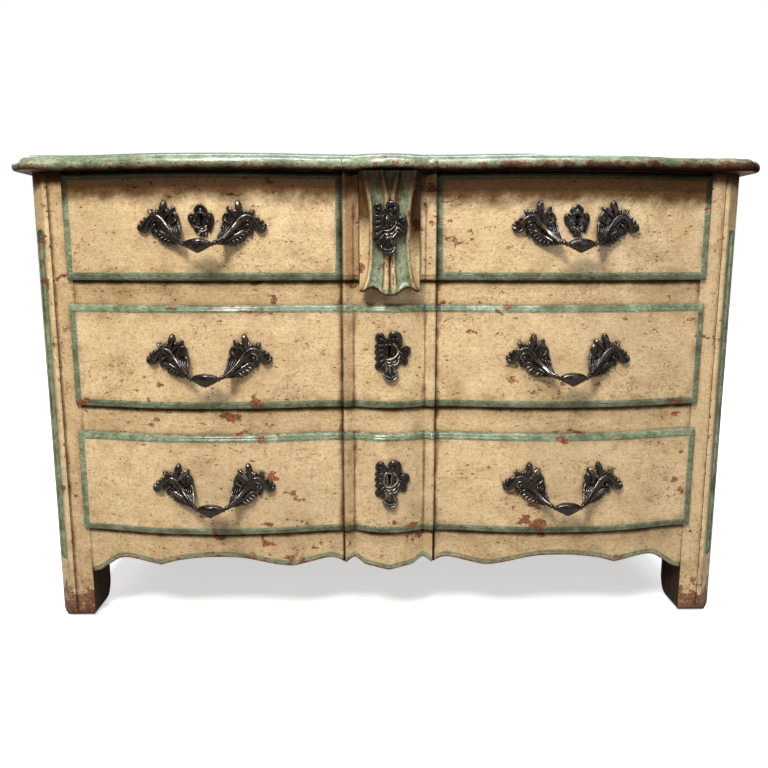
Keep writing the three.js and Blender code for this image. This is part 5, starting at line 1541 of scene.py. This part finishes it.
LARGE_KEY = (-5.0, 16.6, 15.6)
SMALL_KEY = (0.4, 6.0, 13.6)
LARGE_OUTLINE = [
    (-10.5, 33), (-13.5, 35.5), (-15, 40), (-19, 42.2), (-24, 41), (-28, 37.6), (-30, 32), (-28.4, 26.5),
    (-24.5, 23.2), (-28, 21.8), (-31.2, 19.8), (-31, 16.2), (-27.5, 13.4), (-31, 10.2), (-31.6, 6.6),
    (-27.4, 3.4), (-30, 0), (-30.6, -5), (-26.8, -9), (-29.8, -12.4), (-31.2, -17), (-28.4, -23),
    (-22, -24.4), (-17.6, -27), (-17.6, -32), (-16, -38), (-12, -43), (-5, -45.8), (2, -44.8), (7.4, -40),
    (10.2, -34), (10.6, -28.6), (7, -24.4), (9, -19), (14, -13.6), (19, -15.6), (25, -14.6), (27.4, -8),
    (26, -2.4), (28.4, 1), (31.4, 3.4), (31.8, 10), (30, 16.4), (25, 19), (19.4, 18.2), (16.6, 20.6),
    (17.4, 28.4), (15.8, 36), (11, 42), (4, 44.8), (-2, 43.4), (-6.2, 39), (-7, 34.4),
]
LARGE_BARS = [
    # curl at the upper left, and the line that runs out of it
    ("round", [
        (-20, 25, 1, 1.2, 1.4), (-25.5, 26.5, 2, 2.6, 2.2), (-27.8, 32, 2.4, 2.8, 2.6),
        (-26, 37.4, 2.8, 2.8, 2.6), (-21, 39.6, 2.8, 2.8, 2.6), (-17, 37.8, 2.4, 2.4, 2.2),
        (-17.8, 34, 1.6, 1.2, 1.4),
    ]),
    ("round", [
        (-24.5, 33.4, 1.6, 0.8, 1.2), (-19.5, 31.4, 2.6, 1.6, 1.7), (-14, 28.4, 2.6, 1.8, 1.8),
        (-8.5, 27, 1.6, 0.8, 1.2),
    ]),
    # big round scroll at the upper right, a smooth dome
    ("round", [
        (-5, 32, 1, 1.2, 1.4), (-4.6, 37.6, 2.6, 3, 2.8), (-0.4, 41, 3.4, 3.8, 3.6), (5.6, 41, 3.6, 4.2, 4),
        (11.6, 37.4, 3.4, 4.4, 3.8), (14.2, 30.6, 2.8, 3.4, 3.2), (14, 24, 2, 2.8, 2.4),
        (12.4, 19.4, 0.8, 1.2, 1.2),
    ]),
    ("round", [
        (4.6, 31.6, 1.4, 0.6, 1.2), (8, 31.8, 3.4, 3.2, 2.8), (9.4, 28.4, 3, 2.6, 2.4),
        (7.4, 26, 1.2, 0.6, 1),
    ]),
    ("round", [
        (-2.4, 30.6, 1.4, 0.8, 1.2), (1.2, 31, 2.8, 1.7, 1.7), (4.6, 28.8, 2.8, 1.7, 1.7),
        (6, 25, 1.2, 0.7, 1),
    ]),
    ("round", [(-11, 30, 1, 1, 1.2), (-7.6, 31.8, 2.6, 2, 1.8), (-4.2, 30.6, 1.6, 1, 1.2)]),
    # serrated leaf down the left side
    ("leaf", [
        (-14, 20.4, 1.4, 1.2, 1.4), (-20, 19.4, 2.6, 2.8, 2.3), (-26, 18.6, 2.4, 2.8, 2.2),
        (-30.4, 18.2, 0.6, 1, 1),
    ]),
    ("leaf", [
        (-15, 12.4, 1.4, 1.2, 1.4), (-21, 10.4, 2.6, 2.8, 2.3), (-27, 8.6, 2.2, 2.6, 2),
        (-31, 7.6, 0.6, 0.9, 1),
    ]),
    ("leaf", [
        (-15, 4.6, 1.4, 1.2, 1.4), (-21, 1.4, 2.6, 2.8, 2.3), (-26.4, -0.6, 2.6, 2.9, 2.3),
        (-30, -3.4, 0.6, 1, 1),
    ]),
    ("leaf", [
        (-13, -4, 1.4, 1.2, 1.4), (-19.4, -8.4, 2.6, 2.8, 2.3), (-25.6, -12.4, 2.8, 3.1, 2.5),
        (-30.4, -16.4, 0.6, 1.2, 1.1),
    ]),
    ("leaf", [
        (-11, -11.4, 1.4, 1.2, 1.4), (-17, -16.6, 2.4, 2.7, 2.2), (-23, -20.4, 1.8, 2.3, 1.8),
        (-27.6, -22.2, 0.6, 0.8, 0.9),
    ]),
    # C scroll at the right
    ("round", [
        (12, 11.6, 1.4, 1, 1.4), (15.6, 15.6, 2.4, 2.2, 2.1), (21, 17.2, 2.6, 2.6, 2.4),
        (26.8, 15.6, 2.6, 2.8, 2.4), (29.4, 10.4, 2.2, 2.8, 2.3), (29, 5.6, 1.6, 2.2, 1.9),
        (26.2, 3.8, 0.8, 1, 1.1),
    ]),
    ("round", [
        (19.4, 11.6, 1.4, 0.6, 1), (22.6, 12.6, 2.4, 1.3, 1.4), (25.4, 10.8, 2.6, 1.7, 1.7),
        (24.2, 7.8, 1.4, 0.8, 1),
    ]),
    ("round", [
        (12.6, 8.6, 1.4, 0.8, 1.2), (15, 7.4, 3, 2.1, 2), (20, 5, 2.6, 2.2, 2), (25.2, 0.6, 1.8, 2.2, 1.8),
        (27, -1.8, 0.6, 0.8, 0.9),
    ]),
    # lobe under it
    ("leaf", [
        (13, 1.4, 1.4, 1, 1.4), (18, -2.6, 2.6, 2.6, 2.2), (22.8, -5.4, 2.2, 2.8, 2.2),
        (26, -8.4, 1, 1.6, 1.4),
    ]),
    ("leaf", [
        (11.4, -3.8, 1.4, 1, 1.4), (16, -8.2, 2.4, 2.4, 2), (20.6, -11.4, 1.8, 2.2, 1.8),
        (23.6, -13.6, 0.6, 0.9, 1),
    ]),
    # twisted bands under the keyhole
    ("round", [
        (-12, -2, 1.6, 1, 1.3), (-8, -4.6, 2.8, 2.1, 2), (-1, -3.6, 3.2, 2.2, 2.1), (5, 0.2, 3.2, 2.2, 2.1),
        (9.6, 5.2, 2.6, 1.9, 1.8), (11.6, 11, 1.4, 0.9, 1.2),
    ]),
    ("round", [
        (-10, -8.2, 1.6, 1, 1.3), (-5.6, -10.6, 3.4, 2, 2), (-1.2, -8.2, 2.2, 1.1, 1.2),
        (3, -9.4, 3.4, 2.2, 2.1), (7.4, -5.4, 2.2, 1.1, 1.2), (10.8, -2.4, 3, 2, 1.9), (13, 3, 1.4, 0.9, 1.2),
    ]),
    ("round", [
        (-8, -14, 1.6, 1, 1.3), (-3.6, -15.8, 3.2, 1.8, 1.8), (0.2, -13.2, 2, 1, 1.1),
        (4.6, -14.6, 3, 1.8, 1.8), (9.2, -10.6, 2.4, 1.6, 1.6), (12.6, -5, 1.2, 0.8, 1.1),
    ]),
    ("round", [(0.8, 3.6, 1.6, 0.4, 1), (2.4, 4.4, 3.8, 1.7, 1.7), (4, 5.2, 1.6, 0.4, 1)]),
    ("round", [(-12.6, -1.2, 1.6, 0.4, 1), (-10.8, 0.4, 3.6, 1.6, 1.6), (-9.4, 2, 1.6, 0.4, 1)]),
    ("round", [(3.6, 8.4, 1.6, 0.4, 1), (5.4, 9.8, 3.6, 1.5, 1.6), (6.6, 11.6, 1.6, 0.4, 1)]),
    # shell round the keyhole
    ("round", [
        (-8.6, 23.4, 1.4, 0.9, 1.3), (-12.6, 19.4, 2.6, 1.9, 1.9), (-14.4, 11, 2.8, 2.1, 2),
        (-14.4, 3, 2.6, 2.1, 1.9), (-11.6, -3, 1.6, 1.2, 1.4),
    ]),
    ("round", [
        (1.4, 23, 1.4, 0.9, 1.3), (5, 19.6, 2.6, 1.7, 1.8), (8.2, 15, 2.6, 1.9, 1.8), (9, 9.4, 2, 1.5, 1.5),
        (7.4, 5, 1.2, 0.8, 1.1),
    ]),
    # ribs down to the cup
    ("round", [
        (-13, -9.6, 1.4, 0.9, 1.3), (-11.2, -15.6, 2.6, 2.1, 2), (-10, -21.6, 2.4, 2.2, 2),
        (-12, -27.4, 1.2, 1, 1.2),
    ]),
    ("round", [
        (-6.2, -15, 1.4, 0.9, 1.3), (-5.2, -20, 2.6, 1.9, 1.9), (-4.2, -25, 2.4, 1.9, 1.8),
        (-5, -29.6, 1.2, 0.9, 1.1),
    ]),
    ("round", [
        (0, -16, 1.4, 0.9, 1.3), (3, -20, 2.4, 2, 1.9), (4.4, -25.4, 3.4, 2.7, 2.5),
        (6, -29.6, 2.2, 1.9, 1.8), (3, -33, 1, 0.7, 1),
    ]),
    # the cup and its bright rim
    ("round", [
        (-15.6, -27.6, 0.8, 1.4, 1.4), (-15, -33, 2, 2.4, 2.2), (-11, -39.4, 2.6, 3.1, 2.8),
        (-4, -42, 2.8, 3.4, 3), (3, -40.6, 2.6, 3.1, 2.8), (8, -35, 2, 2.4, 2.2), (8.8, -28.8, 0.8, 1.4, 1.4),
    ]),
    ("round", [
        (-14, -31, 2, 0.8, 1.3), (-9, -34.8, 4.2, 1.9, 1.9), (-2.6, -36.6, 4.6, 2.1, 2.1),
        (3.4, -34.4, 4, 1.8, 1.9), (6.8, -30.6, 2, 0.8, 1.3),
    ]),
]
# The leaf that covers the keyhole's place on the blind ornament, which is a little narrower than the plates
BLIND_LEAF = (
    "leaf", [(-5, 21, 1, 1.6, 1.4), (-5, 14, 2.6, 4.2, 2.4), (-5.4, 6, 2.4, 4.2, 2.2), (-6, 0, 1, 1.4, 1.2)],
)
BLIND_SQUEEZE = 29.2 / 31.8
SMALL_OUTLINE = [
    (-0.4, 27.8), (-5.5, 24.4), (-10.4, 19.6), (-12, 15.2), (-10.3, 12), (-13, 10.2), (-17, 12), (-20.4, 9.4),
    (-21.8, 4.5), (-21.4, -0.8), (-19.2, -7), (-14.8, -11.2), (-13, -13.2), (-11.8, -17), (-9.3, -21.6),
    (-6, -19.8), (-5.2, -23), (-4.9, -27.2), (2.5, -27.8), (9.6, -27.2), (10, -22), (11.8, -17.6),
    (14.6, -21.8), (16.6, -16), (19.2, -11), (21.5, -2.8), (21.8, 3.8), (19.4, 10), (15.6, 13.6), (12, 10),
    (10.2, 12.2), (10.9, 15.7), (8.5, 20), (3.4, 24.8),
]
SMALL_BARS = [
    # pointed lobe at the top: a rolled rim round a hollow
    ("round", [
        (-8.6, 12, 0.8, 1.2, 1.3), (-9.6, 16, 1.8, 2, 1.8), (-6.2, 21, 2, 2.1, 1.9),
        (-0.4, 24.8, 2.4, 2.3, 2.1), (5, 21.4, 2.2, 2.1, 1.9), (8.6, 17, 2.2, 2.1, 1.9),
        (8.2, 12.4, 0.8, 1.2, 1.3),
    ]),
    ("round", [(0, 12.6, 1, 1.4, 1.3), (0, 16, 1.4, 2.4, 1.6), (-0.3, 19, 0.6, 1, 1)]),
    # arch over the keyhole
    ("round", [
        (-8.6, 3.6, 1, 0.9, 1.1), (-7.2, 9, 2.4, 1.7, 1.7), (-3.4, 11.8, 2.8, 1.9, 1.9), (1.8, 11.8, 3, 2, 2),
        (6.2, 9, 2.6, 1.8, 1.7), (8, 3.6, 1, 0.9, 1.1),
    ]),
    # four beads
    *like_bars("round", (1, 0.4, 1), (1, 0.4, 1), [
        [(x - 1.6, z), (x, z, lift, 1.9, thick), (x + 1.6, z)] for x, z, lift, thick in (
            (-7.2, 6, 3.2, 1.8), (6.2, 6.6, 3.2, 1.8), (-5.6, -7.2, 3.4, 1.9), (5.6, -8.4, 3, 1.8),
        )
    ]),
    # left ear
    ("round", [
        (-11, 7.6, 0.8, 0.9, 1.1), (-16.4, 9.4, 2, 2.2, 1.9), (-19.4, 5, 2, 2.2, 1.9),
        (-19.2, -0.6, 1.8, 2, 1.8), (-16.4, -6, 1.6, 2, 1.7), (-11.6, -10.2, 1.2, 1.5, 1.4),
        (-7.6, -11.8, 0.8, 0.8, 1),
    ]),
    ("round", [
        (-12, 5, 1.2, 0.6, 1), (-15.4, 4.4, 2.6, 2, 1.8), (-15.8, 0.6, 2, 1.7, 1.5), (-12.8, -1, 1, 0.6, 0.9),
    ]),
    ("round", [(-9, 0.6, 1, 0.7, 1), (-12, -3.2, 2, 1.5, 1.4), (-15, -3.6, 1, 0.8, 1)]),
    # right ear and the spike under it
    ("round", [
        (11, 7.6, 0.8, 0.9, 1.1), (15.2, 10.8, 2, 2.2, 1.9), (19, 6.6, 2, 2.2, 1.9), (19.6, 0, 1.8, 2, 1.8),
        (17.8, -6.6, 1.6, 2.1, 1.8), (15.6, -13, 1.4, 2, 1.6), (14.7, -20.6, 0.5, 0.8, 0.9),
    ]),
    ("round", [
        (11.6, 5.4, 1.2, 0.6, 1), (15, 6.2, 2.6, 2, 1.8), (15.6, 2, 2, 1.7, 1.5), (12.6, 0.4, 1, 0.6, 0.9),
    ]),
    ("round", [
        (8.4, -1, 1, 0.7, 1), (11.6, -3, 2, 1.6, 1.5), (13.6, -7.6, 1.6, 1.4, 1.3),
        (11.6, -11, 0.8, 0.7, 0.9),
    ]),
    ("round", [
        (-7, -9.4, 0.8, 0.7, 1), (-10.4, -13.4, 1.8, 1.8, 1.6), (-9.8, -17.8, 1.4, 1.6, 1.4),
        (-9.2, -20.8, 0.5, 0.6, 0.7),
    ]),
    # bands across the foot
    ("round", [
        (-7, -10, 1, 0.7, 1), (-4.6, -12.8, 2.8, 1.7, 1.7), (-1.6, -13, 1.6, 0.9, 1), (1.2, -15, 3, 1.9, 1.8),
        (4, -13.2, 1.6, 0.9, 1), (7, -12.6, 2.6, 1.7, 1.6), (9.6, -9, 1, 0.7, 1),
    ]),
    ("round", [
        (-4.6, -16, 0.8, 0.7, 1), (-1.6, -18.4, 2.2, 1.5, 1.5), (2.4, -19, 2.4, 1.6, 1.6),
        (7, -17.6, 2, 1.5, 1.5), (10, -14, 0.8, 0.7, 1),
    ]),
    ("round", [(-2.6, -20.6, 0.8, 0.9, 1.1), (-3, -24, 1.6, 1.7, 1.5), (-3, -26.8, 0.5, 0.9, 0.9)]),
    ("round", [(2.5, -21.4, 1, 1.1, 1.2), (2.7, -24, 2, 1.9, 1.6), (2.7, -26.8, 0.6, 1.1, 0.9)]),
    ("round", [(8, -20.6, 0.8, 0.9, 1.1), (7.9, -24, 1.6, 1.7, 1.5), (7.8, -26.8, 0.5, 0.9, 0.9)]),
]


def flat_ground(x, z):
    """The sheet of a plate lies flat at one height."""
    return PLATE_LIFT


def keyhole_rim(x, z, drop):
    """Outline of the bright rim round a keyhole, a closed line that starts at its lower left."""
    half = [
        (2.6, z - drop - 2.4), (3.4, z - drop + 2.4), (3.2, z - 8), (3.4, z - 4.6), (4.6, z - 1),
        (3.6, z + 3),
    ]
    left = [(x - across, height) for across, height in half]
    right = [(x + across, height) for across, height in reversed(half)]
    return left + [(x, z + 4.6)] + right + [(x, z - drop - 3.6), left[0]]


def plate_pattern(name, outline, bars, key=None, x_off=0.0, squeeze=1.0):
    """A plate and its bars, with its keyhole where it has a key, moved across and squeezed in width."""
    bm = bmesh.new()
    openings = []
    if key:
        x, z, drop = key
        openings = [[(x, z, 3.7), (x, z - 4, 2.3), (x, z - drop + 2.4, 2.1), (x, z - drop, 2.9)]]
    sheet(bm, outline, flat_ground, openings, cell=1.3, thick=3.0)
    for style, points in bars:
        bar(bm, flat_ground, points, style, 2 * len(points) + 4)
    if key:
        rim = [(*place, 0.6, 1.1, 1.3) for place in keyhole_rim(*key)]
        bar(bm, flat_ground, rim, steps=64, count=10)
    for vert in bm.verts:
        vert.co.x = (vert.co.x + x_off) * squeeze
    return finished_pattern(bm, name)


class COMMODE_OT_plates(bpy.types.Operator):
    """Cast the keyhole plates and the blind ornament"""
    bl_idname = "commode.plates"
    bl_label = "Cast plates"

    def execute(self, context):
        large = plate_pattern("large_plate_pattern", LARGE_OUTLINE, LARGE_BARS, LARGE_KEY, -LARGE_KEY[0])
        small = plate_pattern("small_plate_pattern", SMALL_OUTLINE, SMALL_BARS, SMALL_KEY)
        for name in DRAWERS:
            node, short = name + "_keyhole_plate", name.startswith("top")
            low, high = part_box(node)
            x0 = (low.x + high.x) / 2 if short else 0.0
            cast_piece(small if short else large, node, name + "_drawer", x0, (low.z + high.z) / 2)
        blind_bars = LARGE_BARS + [BLIND_LEAF]
        blind = plate_pattern("ornament_pattern", LARGE_OUTLINE, blind_bars, squeeze=BLIND_SQUEEZE)
        low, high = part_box("blind_ornament")
        seat, middle = POST_FACE - high.y, (low.z + high.z) / 2
        cast_piece(blind, "blind_ornament", "carcass", 0.0, middle, lambda x: seat)
        for pattern in (large, small, blind):
            bpy.data.meshes.remove(pattern)
        return {"FINISHED"}


# Bare woodwork and locks, which keep their own solids

class COMMODE_OT_woodwork(bpy.types.Operator):
    """Give the drawer boxes, runners, back and locks their wood and iron"""
    bl_idname = "commode.woodwork"
    bl_label = "Woodwork and locks"

    def execute(self, context):
        for name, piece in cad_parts.items():
            if piece.hide_render:
                continue
            if "lock" in name:
                kind = "iron"
            elif name == "back_panel":
                kind = "oak_back"
            elif name.endswith(("_side", "_runner")):
                kind = "oak_deepwise"
            else:
                kind = "oak_across"
            piece.data.materials.clear()
            piece.data.materials.append(materials()[kind])
        return {"FINISHED"}


# Floor, light and camera

LIT_MIDDLE = Vector((0, -0.2, 0.45))
# Name, place, width, height, power in watts and colour of each lamp
LAMPS = [
    ("key", (-0.85, -2.5, 2.85), 0.7, 0.75, 112.0, 0xFFFBF4),
    ("ceiling", (0.1, -1.3, 2.95), 2.0, 0.3, 56.0, 0xE8F0FF),
    ("strip", (0.0, 0.9, 2.9), 2.6, 0.4, 26.0, 0xE6F0FF),
    ("fill", (1.6, -3.2, 1.3), 2.2, 1.6, 12.0, 0xF4F6FF),
    ("rear right", (1.7, 2.4, 2.2), 1.6, 1.2, 34.0, 0xFFFFFF),
    ("rear left", (-2.4, 1.6, 2.0), 1.4, 1.2, 18.0, 0xFFFFFF),
]
CAMERA_PLACE = (-32.7 * MM, -1565.2 * MM, 672 * MM)
CAMERA_DIP, CAMERA_TURN = 9.52, 1.03
LENS = 34.6875


class COMMODE_OT_stage(bpy.types.Operator):
    """Set the pale floor, the soft lamps and the camera"""
    bl_idname = "commode.stage"
    bl_label = "Floor, light and camera"

    def execute(self, context):
        self.floor(context.scene)
        self.world(context.scene)
        self.lamps(context.scene)
        self.camera(context.scene)
        context.scene.view_settings.view_transform = "Standard"
        return {"FINISHED"}

    def floor(self, scene):
        """A pale floor that fades to white round the chest and keeps its shadow."""
        bm = bmesh.new()
        bmesh.ops.create_grid(bm, x_segments=1, y_segments=1, size=9)
        mesh = bpy.data.meshes.new("floor")
        bm.to_mesh(mesh)
        bm.free()
        material, tree, place = new_material("pale_floor")
        seen = add_node(tree, "LightPath", output="Is Camera Ray")
        away = add_node(tree, "VectorMath", {0: place}, "Value", operation="LENGTH")
        ends = {1: 0.9, 2: 2.4, 3: 0.58, 4: 1.0}
        faint = add_node(tree, "MapRange", {0: away, **ends}, interpolation_type="SMOOTHSTEP")
        pale = add_node(tree, "BsdfDiffuse", {"Color": linear(0xF4F4F2)})
        dim = add_node(tree, "BsdfDiffuse", {"Color": linear(0xA8A49C)})
        glow = add_node(tree, "Emission", {"Strength": faint})
        both = add_node(tree, "AddShader", {0: pale, 1: glow})
        mix = add_node(tree, "MixShader", {0: seen, 1: dim, 2: both})
        add_node(tree, "OutputMaterial", {"Surface": mix}, None)
        mesh.materials.append(material)
        floor = bpy.data.objects.new("floor", mesh)
        scene.collection.objects.link(floor)

    def world(self, scene):
        """A white background that lights the chest only faintly."""
        world = bpy.data.worlds.new("studio")
        scene.world = world
        world.use_nodes = True
        tree = world.node_tree
        tree.nodes.clear()
        path = add_node(tree, "LightPath", output=None)
        shown = add_node(tree, "Math", {
            0: path.outputs["Is Camera Ray"], 1: path.outputs["Is Transmission Ray"],
        }, operation="MAXIMUM")
        grey = add_node(tree, "Background", {"Color": linear(0xE9EDF2), "Strength": 0.15})
        white = add_node(tree, "Background", {"Color": (1, 1, 1, 1), "Strength": 1.0})
        mix = add_node(tree, "MixShader", {0: shown, 1: grey, 2: white})
        add_node(tree, "OutputWorld", {"Surface": mix}, None)

    def lamps(self, scene):
        """Soft lamps, all turned to the chest's middle."""
        for name, place, wide, high, power, tint in LAMPS:
            lamp = bpy.data.lights.new(name, "AREA")
            lamp.shape = "RECTANGLE"
            lamp.size, lamp.size_y = wide, high
            lamp.energy = power
            lamp.color = linear(tint)[:3]
            holder = bpy.data.objects.new(name, lamp)
            holder.location = place
            holder.rotation_euler = (LIT_MIDDLE - Vector(place)).to_track_quat("-Z", "Y").to_euler()
            scene.collection.objects.link(holder)

    def camera(self, scene):
        """The camera at the photograph's viewing angle."""
        view = bpy.data.cameras.new("view")
        view.sensor_width = 36.0
        view.lens = LENS
        view.clip_start, view.clip_end = 0.05, 60
        camera = bpy.data.objects.new("view", view)
        camera.location = CAMERA_PLACE
        camera.rotation_euler = (math.radians(90 - CAMERA_DIP), 0, -math.radians(CAMERA_TURN))
        scene.collection.objects.link(camera)
        scene.camera = camera


STEPS = (
    COMMODE_OT_top, COMMODE_OT_posts, COMMODE_OT_sides, COMMODE_OT_rails, COMMODE_OT_tongue,
    COMMODE_OT_drawers, COMMODE_OT_handles, COMMODE_OT_plates, COMMODE_OT_woodwork, COMMODE_OT_stage,
)


class COMMODE_PT_panel(bpy.types.Panel):
    """The chest's pieces and settings"""
    bl_idname = "COMMODE_PT_panel"
    bl_label = "Commode chest"
    bl_space_type = "VIEW_3D"
    bl_region_type = "UI"
    bl_category = "Commode"

    def draw(self, context):
        for step in STEPS:
            self.layout.operator(step.bl_idname)
        for group in (context.scene.commode_sizes, context.scene.commode_paint, context.scene.commode_metal):
            box = self.layout.box()
            for key in group.__annotations__:
                box.prop(group, key)


CLASSES = (CommodePaint, CommodeMetal, CommodeSizes, *STEPS, COMMODE_PT_panel)


def register():
    """Makes the panel, the operators and the settings known."""
    for kind in CLASSES:
        bpy.utils.register_class(kind)
    bpy.types.Scene.commode_paint = bpy.props.PointerProperty(type=CommodePaint)
    bpy.types.Scene.commode_metal = bpy.props.PointerProperty(type=CommodeMetal)
    bpy.types.Scene.commode_sizes = bpy.props.PointerProperty(type=CommodeSizes)


def unregister():
    """Takes them away again."""
    del bpy.types.Scene.commode_sizes
    del bpy.types.Scene.commode_metal
    del bpy.types.Scene.commode_paint
    for kind in reversed(CLASSES):
        bpy.utils.unregister_class(kind)


def main():
    """Makes the whole chest."""
    register()
    for step in STEPS:
        getattr(bpy.ops.commode, step.bl_idname.split(".")[1])()


if __name__ == "__main__":
    main()
